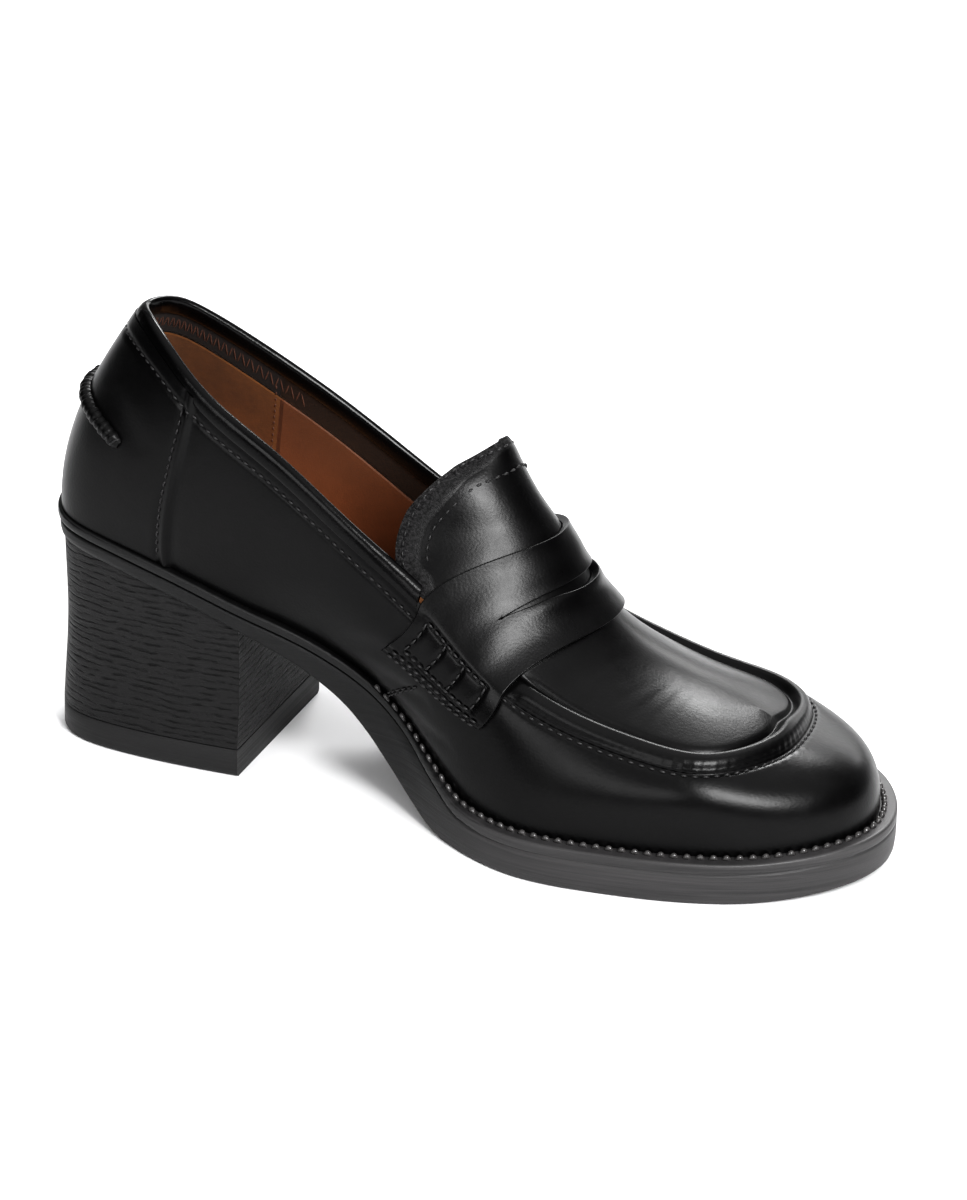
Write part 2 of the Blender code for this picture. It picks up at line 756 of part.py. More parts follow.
BINDING_POINTS = 45
BINDING_END_SECTION = 5.8
BINDING_FOOT = 0.93
BINDING_CORNERS = 8
BINDING_SINK = 0.15


def build_binding():
    """Rolled binding on the collar's topline, ending close behind the strap at both ends."""
    at = np.linspace(-BINDING_END_SECTION, BINDING_END_SECTION, BINDING_POINTS)
    low, path = wall_point(at, np.full(len(at), BINDING_FOOT)), edge(at)
    ups = path - low
    ups /= np.linalg.norm(ups, axis=1, keepdims=True)
    along = np.gradient(path, axis=0)
    sides = np.cross(along, ups)
    sides /= np.linalg.norm(sides, axis=1, keepdims=True)
    out = np.column_stack([outward(edge, at), np.zeros(len(at))])
    sides *= np.sign((sides * out).sum(axis=1))[:, None]
    path = path - sides * UPPER_WALL / 2
    lift = BINDING_HALF_HEIGHT + SEAT_GAP - BINDING_SINK
    shape = round_shape(BINDING_HALF_WIDTH, BINDING_HALF_HEIGHT, BINDING_CORNERS, lift)
    return swept("collar_binding", path, sides, ups, shape, BLACK_LEATHER)


BACK_SEAM_POINTS = 17
BACK_SEAM_REACH = 1.8
BACK_SEAM_TOP = 0.57
BACK_SEAM_DROP = 0.08


def build_back_seam():
    """Raised hand-sewn seam across the back of the counter, bowed up in the middle."""
    at = np.linspace(-BACK_SEAM_REACH, BACK_SEAM_REACH, BACK_SEAM_POINTS)
    v = BACK_SEAM_TOP - BACK_SEAM_DROP * (at / BACK_SEAM_REACH) ** 2
    path = wall_point(at, v)
    ups = np.cross(wall_point(at + 0.02, v) - wall_point(at - 0.02, v), wall_point(at, v + 0.01) - path)
    ups /= np.linalg.norm(ups, axis=1, keepdims=True)
    out = np.column_stack([outward(feather, at), np.zeros(len(at))])
    ups *= np.sign((ups * out).sum(axis=1))[:, None]
    along = np.gradient(path, axis=0)
    sides = np.cross(along, ups)
    sides /= np.linalg.norm(sides, axis=1, keepdims=True)
    base = COUNTER_STEP + SEAT_GAP
    shape = [
        (-BACK_SEAM_HALF_WIDTH, base),
        (BACK_SEAM_HALF_WIDTH, base),
        (BACK_SEAM_SHOULDER_WIDTH, base + BACK_SEAM_SHOULDER_HEIGHT),
        (0.0, base + BACK_SEAM_HEIGHT),
        (-BACK_SEAM_SHOULDER_WIDTH, base + BACK_SEAM_SHOULDER_HEIGHT),
    ]
    return swept("back_seam", path, sides, ups, shape, BLACK_LEATHER)


def centre_on_floor(pieces):
    """Moves every piece so that the origin is under the middle of the whole shoe's box."""
    corners = [piece.matrix_world @ vertex.co for piece in pieces for vertex in piece.data.vertices]
    low = Vector([min(c[i] for c in corners) for i in range(3)])
    high = Vector([max(c[i] for c in corners) for i in range(3)])
    shift = -(low + high) / 2
    shift.z = -low.z
    for piece in pieces:
        for vertex in piece.data.vertices:
            vertex.co += shift


COLUMN_STEP = 0.38
COLUMN_APART = 0.15
COUNTER_STEP_HALF_SPAN = 0.02
WAIST_STEP = 0.16
WAIST_SECTIONS = (6.6, 9.4)
WAIST_APART = 0.1


def build():
    """Clears the scene and makes every piece."""
    for old in list(bpy.data.objects):
        bpy.data.objects.remove(old, do_unlink=True)
    regular = np.arange(0, LAST_SECTION + COLUMN_STEP / 2, COLUMN_STEP)
    regular = regular * LAST_SECTION / regular[-1]
    half = COUNTER_STEP_HALF_SPAN
    fixed = (COUNTER_SECTION - half, COUNTER_SECTION + half, THROAT_SECTION)
    kept = [s for s in regular if min(abs(s - f) for f in fixed) > COLUMN_APART]
    sections = sorted([float(s) for s in kept] + list(fixed))
    waist = np.arange(WAIST_SECTIONS[0], WAIST_SECTIONS[1], WAIST_STEP)
    waist_low, waist_high = WAIST_SECTIONS[0] - WAIST_APART, WAIST_SECTIONS[1] + WAIST_APART
    outside = [s for s in regular if not waist_low < s < waist_high]
    plain = sorted([float(s) for s in outside] + [float(s) for s in waist])
    build_outsole(plain)
    build_midsole(plain)
    build_heel()
    build_insole(plain)
    build_upper(sections)
    build_strap()
    build_tongue()
    build_binding()
    build_back_seam()
    centre_on_floor(list(bpy.data.objects))


build()
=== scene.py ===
"""Loafer pump for the left foot: moc toe, saddle strap, collar binding and stacked block heel.

Every piece is worked out from one last, whose tables are in millimetres: X from the back of the heel
to the toe, Y from the inner to the outer side, Z up from the floor. Pieces are then moved to the
frame, whose origin is on the floor under the middle of the shoe.
"""

import logging
import math
from dataclasses import dataclass, field
from enum import Enum
from typing import Callable, NamedTuple, Sequence

import bpy
import numpy as np
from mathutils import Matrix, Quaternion, Vector


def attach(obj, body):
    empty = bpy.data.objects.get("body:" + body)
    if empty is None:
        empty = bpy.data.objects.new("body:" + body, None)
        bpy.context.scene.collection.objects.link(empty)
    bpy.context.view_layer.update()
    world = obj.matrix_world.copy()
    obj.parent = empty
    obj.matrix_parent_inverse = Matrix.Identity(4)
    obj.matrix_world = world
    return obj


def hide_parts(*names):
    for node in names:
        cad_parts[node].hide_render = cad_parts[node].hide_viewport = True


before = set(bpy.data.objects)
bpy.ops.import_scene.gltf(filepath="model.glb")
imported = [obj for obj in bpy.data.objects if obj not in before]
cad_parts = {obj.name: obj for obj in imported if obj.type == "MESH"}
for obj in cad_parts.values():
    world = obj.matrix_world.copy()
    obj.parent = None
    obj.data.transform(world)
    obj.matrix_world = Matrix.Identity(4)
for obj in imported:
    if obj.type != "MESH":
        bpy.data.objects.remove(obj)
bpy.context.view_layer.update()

log = logging.getLogger("loafer_pump")

MM = 0.001
FRAME_SHIFT = np.array([-119.65, 1.653, 0.0])
SEAT_GAP = 0.3
UPPER_WALL = 1.9
STRAP_THICKNESS = 2.0
TONGUE_THICKNESS = 2.2
COUNTER_STEP = 0.9


class Side(Enum):
    """The two sides of the shoe, as the sign of Y."""

    INNER = -1.0
    OUTER = 1.0


SIDES = (Side.INNER.value, Side.OUTER.value)


class Node(Enum):
    """The shoe's CAD nodes, whose names the material slots share."""

    UPPER = "upper"
    TONGUE = "tongue"
    SADDLE_STRAP = "saddle_strap"
    COLLAR_BINDING = "collar_binding"
    BACK_SEAM = "back_seam"
    INSOLE = "insole"
    MIDSOLE = "midsole"
    OUTSOLE = "outsole"
    HEEL_BLOCK = "heel_block"
    HEEL_LIFT = "heel_lift"


class Section(NamedTuple):
    """One section of the last: sole outline, feather margin, edge, and the wall between them."""

    sole_x: float
    sole_in: float
    sole_out: float
    margin: float
    edge_x: float
    edge_in: float
    edge_out: float
    edge_z_in: float
    edge_z_out: float
    flare_in: float
    flare_out: float
    rise: float
    roof: float
    reach: float


SECTIONS = (
    Section(0.3, 0.5, 0.5, 1.9, 23.0, -3.0, -3.0, 121.3, 121.3, 0.0, 0.0, 0.38, 58.0, 0.38),
    Section(7.0, -19.5, 21.0, 1.9, 28.0, -12.5, 6.5, 120.8, 120.4, 2.0, 2.0, 0.38, 62.0, 0.36),
    Section(26.0, -26.2, 29.2, 2.0, 38.0, -20.5, 12.5, 116.2, 114.6, 7.0, 5.0, 0.38, 70.0, 0.34),
    Section(46.0, -27.2, 31.7, 2.0, 53.0, -26.0, 19.0, 105.6, 103.4, 11.0, 6.0, 0.36, 76.0, 0.34),
    Section(66.0, -26.5, 32.5, 2.0, 73.0, -29.0, 25.0, 94.3, 88.6, 17.0, 8.0, 0.36, 78.0, 0.34),
    Section(82.0, -25.0, 32.8, 2.0, 95.0, -31.5, 29.5, 79.6, 71.8, 28.0, 12.0, 0.36, 76.0, 0.34),
    Section(97.0, -25.0, 33.5, 2.0, 116.0, -32.0, 32.0, 64.6, 57.5, 34.0, 18.0, 0.36, 66.0, 0.34),
    Section(110.5, -28.5, 36.0, 2.4, 128.5, -34.5, 33.8, 54.4, 48.2, 28.0, 18.0, 0.38, 62.0, 0.34),
    Section(125.0, -38.5, 41.5, 3.4, 141.5, -37.0, 35.2, 45.5, 40.2, 14.0, 12.0, 0.40, 58.0, 0.34),
    Section(147.0, -49.5, 47.3, 4.3, 160.0, -39.0, 35.4, 39.0, 34.4, 3.0, 5.0, 0.42, 54.0, 0.34),
    Section(172.0, -50.2, 46.0, 4.5, 180.0, -38.5, 33.0, 34.8, 31.4, 2.0, 3.0, 0.44, 46.0, 0.36),
    Section(200.0, -44.8, 39.5, 4.5, 197.0, -35.0, 29.4, 33.2, 30.6, 2.0, 2.0, 0.48, 36.0, 0.41),
    Section(226.0, -30.3, 25.0, 4.6, 209.5, -20.5, 16.0, 33.2, 31.4, 2.0, 2.0, 0.52, 22.0, 0.47),
    Section(239.0, -5.0, -5.0, 4.7, 213.0, -5.0, -5.0, 33.0, 33.0, 1.0, 1.0, 0.52, 14.0, 0.47),
)
LAST_SECTION = len(SECTIONS) - 1
COUNTER_SECTION = 2.75
STRAP_REAR_SECTION = 6.0
THROAT_SECTION = 6.55
STRAP_FRONT_SECTION = 8.0


class Spine(NamedTuple):
    """Where a section crosses the middle of the plug, its first angle and its last turn."""

    section: float
    x: float
    y: float
    z: float
    crown: float
    across: float


SPINE = (
    Spine(6.0, 142.5, -1.5, 77.5, 50.0, 1.0),
    Spine(7.0, 150.0, -1.8, 66.0, 46.0, 1.0),
    Spine(8.0, 159.0, -2.0, 55.8, 40.0, 1.0),
    Spine(9.0, 169.5, -2.5, 48.0, 33.0, 0.9),
    Spine(10.0, 181.0, -3.0, 43.5, 26.0, 0.6),
    Spine(11.0, 190.5, -3.5, 41.0, 22.0, 0.3),
    Spine(12.0, 197.0, -4.0, 39.4, 20.0, 0.1),
    Spine(13.0, 200.0, -4.0, 38.7, 18.0, 0.0),
)


class Height(NamedTuple):
    """A height of the sole at one distance from the back of the heel."""

    x: float
    z: float


SOLE_TOP = (
    Height(0.0, 66.8),
    Height(20.0, 63.6),
    Height(39.0, 58.9),
    Height(62.0, 51.2),
    Height(75.5, 46.6),
    Height(86.0, 42.2),
    Height(98.0, 36.0),
    Height(110.0, 27.4),
    Height(121.0, 18.8),
    Height(132.0, 12.9),
    Height(145.0, 11.8),
    Height(205.0, 11.8),
    Height(239.0, 13.6),
)
SOLE_BOTTOM = (
    Height(0.0, 59.6),
    Height(20.0, 56.4),
    Height(39.0, 51.4),
    Height(61.3, 43.4),
    Height(75.0, 37.4),
    Height(85.0, 31.6),
    Height(92.0, 26.4),
    Height(98.4, 20.0),
    Height(105.0, 12.4),
    Height(112.3, 5.4),
    Height(120.0, 1.2),
    Height(127.0, 0.0),
    Height(205.0, 0.0),
    Height(239.0, 2.2),
)


class TongueRow(NamedTuple):
    """A row across the tongue: its middle, its inner and outer ends, and how steeply it leaves them."""

    x: float
    y: float
    z: float
    in_x: float
    in_y: float
    in_z: float
    out_x: float
    out_y: float
    out_z: float
    crown: float


TONGUE = (
    TongueRow(137.5, -1.5, 84.0, 108.7, -29.6, 70.0, 110.4, 28.6, 66.8, 56.0),
    TongueRow(133.3, -1.0, 90.3, 106.5, -26.2, 78.5, 107.5, 27.0, 76.0, 54.0),
    TongueRow(129.8, -0.5, 95.6, 107.5, -22.5, 85.0, 109.0, 25.6, 81.0, 48.0),
    TongueRow(127.6, 0.0, 99.2, 110.8, -17.0, 89.6, 113.5, 20.0, 85.6, 42.0),
    TongueRow(126.4, 0.5, 101.2, 116.0, -10.0, 94.6, 120.5, 11.4, 91.6, 34.0),
)


class ClosedCurve:
    """A smooth closed curve through knots that are one unit of its parameter apart."""

    def __init__(self, knots: np.ndarray) -> None:
        """Works out the slope at each knot.

        Args:
            knots: One row for each knot.
        """
        count = len(knots)
        unit = np.eye(count)
        matrix = 4 * unit + np.roll(unit, 1, axis=0) + np.roll(unit, -1, axis=0)
        self.knots = knots
        self.slopes = np.linalg.solve(matrix, 3 * (np.roll(knots, -1, axis=0) - np.roll(knots, 1, axis=0)))

    def __call__(self, at: np.ndarray) -> np.ndarray:
        """Reads the curve.

        Args:
            at: Parameters, one for each point wanted.

        Returns:
            One row for each parameter.
        """
        count = len(self.knots)
        at = np.asarray(at, float) % count
        first = np.floor(at).astype(int) % count
        after = (first + 1) % count
        t = (at - np.floor(at))[:, None]
        return (
            self.knots[first] * (2 * t**3 - 3 * t**2 + 1)
            + self.slopes[first] * (t**3 - 2 * t**2 + t)
            + self.knots[after] * (3 * t**2 - 2 * t**3)
            + self.slopes[after] * (t**3 - t**2)
        )


def smooth_table(at: np.ndarray, places: Sequence[float], values: Sequence[float]) -> np.ndarray:
    """Reads between a table's rows, with no overshoot past a row.

    Args:
        at: Where to read.
        places: The rows' places, rising.
        values: The rows' values.

    Returns:
        One value for each place in at.
    """
    places, values = np.asarray(places, float), np.asarray(values, float)
    steps = np.diff(places)
    chords = np.diff(values) / steps
    slopes = np.zeros(len(places))
    slopes[0], slopes[-1] = chords[0], chords[-1]
    for i in range(1, len(places) - 1):
        if chords[i - 1] * chords[i] > 0:
            before, after = 2 * steps[i] + steps[i - 1], steps[i] + 2 * steps[i - 1]
            slopes[i] = (before + after) / (before / chords[i - 1] + after / chords[i])
    at = np.clip(np.asarray(at, float), places[0], places[-1])
    first = np.clip(np.searchsorted(places, at, side="right") - 1, 0, len(places) - 2)
    width = steps[first]
    t = (at - places[first]) / width
    return (
        values[first] * (2 * t**3 - 3 * t**2 + 1)
        + slopes[first] * width * (t**3 - 2 * t**2 + t)
        + values[first + 1] * (3 * t**2 - 2 * t**3)
        + slopes[first + 1] * width * (t**3 - t**2)
    )


def soft_step(value: np.ndarray, low: float, high: float) -> np.ndarray:
    """Goes smoothly from 0 at low to 1 at high.

    Args:
        value: What is tested.
        low: Where it starts.
        high: Where it ends; below low, the step goes down.

    Returns:
        The share, from 0 to 1.
    """
    t = np.clip((np.asarray(value, float) - low) / (high - low), 0, 1)
    return t * t * (3 - 2 * t)


def bell(value: np.ndarray, middle: float, width: float) -> np.ndarray:
    """A round hump of height 1 at middle that fades within about twice its width."""
    return np.exp(-(((np.asarray(value, float) - middle) / width) ** 2))


def bezier(a: np.ndarray, b: np.ndarray, c: np.ndarray, d: np.ndarray, t: np.ndarray) -> np.ndarray:
    """Reads a cubic curve from a to d.

    Args:
        a: First end.
        b: Handle of the first end.
        c: Handle of the last end.
        d: Last end.
        t: Where to read, from 0 to 1.

    Returns:
        One point for each row.
    """
    t = np.asarray(t, float)[..., None]
    return a * (1 - t) ** 3 + 3 * b * t * (1 - t) ** 2 + 3 * c * t**2 * (1 - t) + d * t**3


def unit(vectors: np.ndarray) -> np.ndarray:
    """The vectors, each one unit long."""
    return vectors / np.maximum(np.linalg.norm(vectors, axis=-1, keepdims=True), 1e-12)


class Last:
    """The form that the whole shoe is built on."""

    def __init__(self) -> None:
        """Makes the closed curves of the tables."""

        def around(inner: str, outer: str) -> np.ndarray:
            """A column, up the inner side to the toe and back along the outer side."""
            there = [getattr(row, inner) for row in SECTIONS]
            return np.array(there + [getattr(row, outer) for row in SECTIONS[-2:0:-1]])

        outline = [around("sole_x", "sole_x"), around("sole_in", "sole_out")]
        self._rim = ClosedCurve(np.stack(outline, axis=1))
        edge = [around("edge_x", "edge_x"), around("edge_in", "edge_out"), around("edge_z_in", "edge_z_out")]
        self.edge = ClosedCurve(np.stack(edge, axis=1))
        shape = [around("margin", "margin"), around("flare_in", "flare_out"), around("roof", "roof")]
        shape += [around("rise", "rise"), around("reach", "reach")]
        self._shape = ClosedCurve(np.stack(shape, axis=1))

    @staticmethod
    def place(section: np.ndarray, side: np.ndarray) -> np.ndarray:
        """The closed curves' parameter for a section number on a side."""
        section = np.asarray(section, float)
        return np.where(np.asarray(side) < 0, section, 2 * LAST_SECTION - section)

    @staticmethod
    def section_of(at: np.ndarray) -> np.ndarray:
        """The section number of a closed curve's parameter."""
        at = np.asarray(at, float) % (2 * LAST_SECTION)
        return np.where(at > LAST_SECTION, 2 * LAST_SECTION - at, at)

    @staticmethod
    def sole_top(x: np.ndarray) -> np.ndarray:
        """Height of the sole's top."""
        return smooth_table(x, [row.x for row in SOLE_TOP], [row.z for row in SOLE_TOP])

    @staticmethod
    def sole_bottom(x: np.ndarray) -> np.ndarray:
        """Height of the sole's underside."""
        return smooth_table(x, [row.x for row in SOLE_BOTTOM], [row.z for row in SOLE_BOTTOM])

    @staticmethod
    def outward(curve: Callable[[np.ndarray], np.ndarray], at: np.ndarray) -> np.ndarray:
        """Normals in plan that point out of a closed curve.

        Args:
            curve: The closed curve.
            at: Where to read it.

        Returns:
            Unit plan vectors.
        """
        along = curve(at + 0.01)[:, :2] - curve(at - 0.01)[:, :2]
        return unit(np.stack([along[:, 1], -along[:, 0]], axis=1))

    def rim(self, at: np.ndarray, inset: np.ndarray) -> np.ndarray:
        """Plan of the sole's rim, moved in by inset."""
        return self._rim(at) - self.outward(self._rim, at) * np.reshape(inset, (-1, 1))

    def feather(self, at: np.ndarray) -> np.ndarray:
        """The line where the outside of the upper meets the top of the sole."""
        plan = self.rim(at, self._shape(at)[:, 0])
        return np.column_stack([plan, self.sole_top(plan[:, 0]) + SEAT_GAP])

    def margin(self, at: np.ndarray) -> np.ndarray:
        """Distance of the feather line from the sole's rim."""
        return self._shape(at)[:, 0]

    def wall(self, at: np.ndarray, v: np.ndarray) -> np.ndarray:
        """Points of the side wall.

        Args:
            at: Parameters round the shoe.
            v: 0 at the feather line and 1 at the edge.

        Returns:
            One point for each pair.
        """
        at, v = np.broadcast_arrays(np.asarray(at, float), np.asarray(v, float))
        shape, at, v = at.shape, at.ravel(), v.ravel()
        low, high = self.feather(at), self.edge(at)
        length = np.linalg.norm(high - low, axis=1, keepdims=True)
        _, flare, roof, rise, reach = self._shape(at).T
        flare, roof = np.radians(flare), np.radians(roof)
        out_low, out_high = self.outward(self.feather, at), self.outward(self.edge, at)
        up = np.column_stack([out_low * np.sin(flare)[:, None], np.cos(flare)])
        down = np.column_stack([out_high * np.cos(roof)[:, None], -np.sin(roof)])
        points = bezier(
            low,
            low + rise[:, None] * length * up,
            high + reach[:, None] * length * down,
            high,
            v,
        )
        return points.reshape(*shape, 3)

    def spine(self, section: np.ndarray) -> tuple[np.ndarray, ...]:
        """Reads the spine table.

        Args:
            section: Section numbers.

        Returns:
            Spine points, crown angles, shares of straight crossing, and slopes.
        """
        rows = [row.section for row in SPINE]

        def read(key: str, at: np.ndarray) -> np.ndarray:
            """One column of the table."""
            return smooth_table(at, rows, [getattr(row, key) for row in SPINE])

        ahead, behind = section + 0.05, section - 0.05
        slope = (read("z", ahead) - read("z", behind)) / (read("x", ahead) - read("x", behind))
        point = np.column_stack([read(key, section) for key in ("x", "y", "z")])
        return point, np.radians(read("crown", section)), read("across", section), slope

    @staticmethod
    def half_arch(
        high: np.ndarray,
        middle: np.ndarray,
        crown: np.ndarray,
        across: np.ndarray,
        slope: np.ndarray,
        w: np.ndarray,
    ) -> np.ndarray:
        """Curve from an edge point up to the middle.

        Args:
            high: Edge points.
            middle: Points on the spine.
            crown: First angles.
            across: How far the last turn runs straight across.
            slope: Slopes of the spine.
            w: 0 at the edge and 1 at the spine.

        Returns:
            One point for each row.
        """
        plan = middle[:, :2] - high[:, :2]
        length = np.linalg.norm(plan, axis=1, keepdims=True)
        plan = plan / length
        leave = np.column_stack([plan * np.cos(crown)[:, None], np.sin(crown)])
        along = np.column_stack([plan, plan[:, 0] * slope])
        straight = np.column_stack([0 * slope, np.sign(plan[:, 1]), 0 * slope])
        arrive = along + (straight - along) * across[:, None]
        handle = length / 3
        return bezier(high, high + handle * leave, middle - handle * arrive, middle, w)

    def plug(self, section: np.ndarray, side: np.ndarray, w: np.ndarray) -> np.ndarray:
        """Points of the plug.

        Args:
            section: Section numbers.
            side: Signs of Y.
            w: 0 at the edge and 1 at the spine.

        Returns:
            One point for each row.
        """
        section, side, w = np.broadcast_arrays(*(np.asarray(a, float) for a in (section, side, w)))
        shape = section.shape
        section, side, w = section.ravel(), side.ravel(), w.ravel()
        high = self.edge(self.place(section, side))
        middle, crown, across, slope = self.spine(section)
        return self.half_arch(high, middle, crown, across, slope, w).reshape(*shape, 3)

    def plug_span(self, section: np.ndarray, side: np.ndarray) -> np.ndarray:
        """Straight distance from the edge to the spine.

        Args:
            section: Section numbers.
            side: Signs of Y.

        Returns:
            One distance for each pair.
        """
        start = self.plug(section, side, np.zeros_like(section))
        end = self.plug(section, side, np.ones_like(section))
        return np.linalg.norm(end - start, axis=-1)


LAST = Last()


def normals_of(surface: Callable[..., np.ndarray], a: np.ndarray, b: np.ndarray, sign: float) -> np.ndarray:
    """Normals of a surface of two parameters.

    Args:
        surface: Gives points for two arrays of parameters.
        a: First parameters.
        b: Second parameters.
        sign: 1, or -1 to turn the normals over.

    Returns:
        Unit normals.
    """
    step = 1e-3
    along = surface(a + step, b) - surface(a - step, b)
    across = surface(a, b + step) - surface(a, b - step)
    return sign * unit(np.cross(along, across))


class Shader:
    """A material being put together, with short calls for the nodes that the finishes share."""

    def __init__(self, name: str) -> None:
        """Starts a material with its surface node.

        Args:
            name: The material's name.
        """
        self.material = bpy.data.materials.new(name)
        self.material.use_nodes = True
        self.tree = self.material.node_tree
        self.surface = self.tree.nodes["Principled BSDF"]
        self.where = self.add("ShaderNodeTexCoord").outputs["Object"]

    def add(self, kind: str, feeds: dict | None = None, **settings: object) -> bpy.types.Node:
        """Adds a node.

        Args:
            kind: The node's type.
            feeds: Input name to a value, or to a socket that it is joined to.
            **settings: The node's own settings.

        Returns:
            The new node.
        """
        node = self.tree.nodes.new(kind)
        for key, value in settings.items():
            setattr(node, key, value)
        for key, value in (feeds or {}).items():
            self.feed(node.inputs[key], value)
        return node

    def feed(self, socket: bpy.types.NodeSocket, value: object) -> None:
        """Joins a socket to a value or to another socket.

        Args:
            socket: The socket that is fed.
            value: A value, or the socket that feeds it.
        """
        if isinstance(value, bpy.types.NodeSocket):
            self.tree.links.new(value, socket)
        else:
            socket.default_value = value

    def set(self, **values: object) -> None:
        """Sets the surface's inputs; an underscore in a name stands for a space."""
        for key, value in values.items():
            self.feed(self.surface.inputs[key.replace("_", " ")], value)

    def stretched(self, x: float, y: float, z: float, source: object = None) -> bpy.types.NodeSocket:
        """The place on the piece, multiplied along each axis."""
        feeds = {0: source or self.where, 1: (x, y, z)}
        return self.add("ShaderNodeVectorMath", feeds, operation="MULTIPLY").outputs[0]

    def noise(
        self,
        scale: float,
        detail: float = 3.0,
        rough: float = 0.55,
        source: object = None,
    ) -> bpy.types.NodeSocket:
        """Cloudy variation from 0 to 1; scale is in turns per metre."""
        feeds = {"Vector": source or self.where, "Scale": scale, "Detail": detail, "Roughness": rough}
        return self.add("ShaderNodeTexNoise", feeds).outputs["Fac"]

    def cells(self, scale: float, source: object = None) -> bpy.types.NodeSocket:
        """Distance from the middle of small cells, as in grained leather."""
        feeds = {"Vector": source or self.where, "Scale": scale}
        return self.add("ShaderNodeTexVoronoi", feeds, feature="SMOOTH_F1").outputs["Distance"]

    def calc(self, operation: str, a: object, b: object = 0.0) -> bpy.types.NodeSocket:
        """One sum of up to two values."""
        return self.add("ShaderNodeMath", {0: a, 1: b}, operation=operation).outputs[0]

    def fit(
        self,
        value: object,
        low: float,
        high: float,
        to_low: float = 0.0,
        to_high: float = 1.0,
    ) -> bpy.types.NodeSocket:
        """Moves a value from one range to another, kept inside it."""
        feeds = {"Value": value, "From Min": low, "From Max": high, "To Min": to_low, "To Max": to_high}
        return self.add("ShaderNodeMapRange", feeds).outputs["Result"]

    def mix(self, share: object, a: object, b: object) -> bpy.types.NodeSocket:
        """Mixes two colours.

        Args:
            share: How much of the second colour shows, from 0 to 1.
            a: First colour, or the socket that gives it.
            b: Second colour, or the socket that gives it.

        Returns:
            The mixed colour.
        """
        node = self.add("ShaderNodeMix", data_type="RGBA")
        self.feed(node.inputs[0], share)
        for index, colour in ((6, a), (7, b)):
            self.feed(node.inputs[index], (*colour, 1.0) if isinstance(colour, tuple) else colour)
        return node.outputs[2]

    def read(self, name: str) -> bpy.types.NodeSocket:
        """A value stored at the piece's points."""
        return self.add("ShaderNodeAttribute", attribute_name=name).outputs["Fac"]

    def bump(
        self,
        height: object,
        depth: float,
        under: object = None,
        strength: float = 1.0,
    ) -> bpy.types.NodeSocket:
        """Relief on top of another, if one is given.

        Args:
            height: Heights from 0 to 1.
            depth: What 1 stands for, in metres.
            under: The normal of the relief below.
            strength: How strongly it shows.

        Returns:
            The new normal.
        """
        feeds = {"Height": height, "Distance": depth, "Strength": strength}
        if under is not None:
            feeds["Normal"] = under
        return self.add("ShaderNodeBump", feeds).outputs["Normal"]


@dataclass(frozen=True)
class BlackLeather:
    """Smooth box calf: near-black, softly glossy, with a fine grain and light wear."""

    name: str = "black_leather"
    deep: tuple[float, float, float] = (0.0020, 0.0019, 0.0021)
    worn: tuple[float, float, float] = (0.0038, 0.0037, 0.0039)
    roughness: float = 0.31
    grain: float = 0.000035
    wrinkle: float = 0.00006
    fuzz: float = 0.0
    fibre: tuple[float, float, float] = (0.06, 0.058, 0.06)
    gloss: float = 0.22
    wax: float = 0.03
    wax_roughness: float = 0.2

    def material(self) -> bpy.types.Material:
        """Builds the finish.

        Returns:
            The material.
        """
        s = Shader(self.name)
        cloud = s.noise(45.0, 4.0)
        fine = s.noise(420.0, 4.0)
        colour = s.mix(s.fit(cloud, 0.35, 0.7), self.deep, self.worn)
        s.set(Base_Color=colour)
        rough = s.fit(cloud, 0.3, 0.75, self.roughness - 0.03, self.roughness + 0.05)
        rough = s.calc("ADD", rough, s.fit(fine, 0.3, 0.7, -0.015, 0.02))
        s.set(Roughness=rough)
        s.surface.inputs["Specular IOR Level"].default_value = self.gloss
        s.surface.inputs["Coat Weight"].default_value = self.wax
        s.surface.inputs["Coat Roughness"].default_value = self.wax_roughness
        pebble = s.bump(s.cells(1500.0), self.grain, strength=0.55)
        hide = s.bump(s.noise(260.0, 5.0, 0.62), self.wrinkle, pebble, 0.5)
        soft = s.bump(s.noise(38.0, 3.0, 0.5), 0.0008, hide, 0.25)
        if self.fuzz:
            # Fibres stand up along the raw edge.
            raw = s.fit(s.read("rim"), self.fuzz, 0.3 * self.fuzz)
            fibres = s.noise(1300.0, 5.0, 0.75)
            shown = s.calc("MULTIPLY", raw, s.fit(fibres, 0.42, 0.7))
            s.set(Base_Color=s.mix(shown, colour, self.fibre))
            s.set(Roughness=s.calc("ADD", rough, s.calc("MULTIPLY", raw, 0.3)))
            soft = s.bump(s.calc("MULTIPLY", raw, fibres), 0.0011, soft, 0.8)
        s.set(Normal=soft)
        return s.material


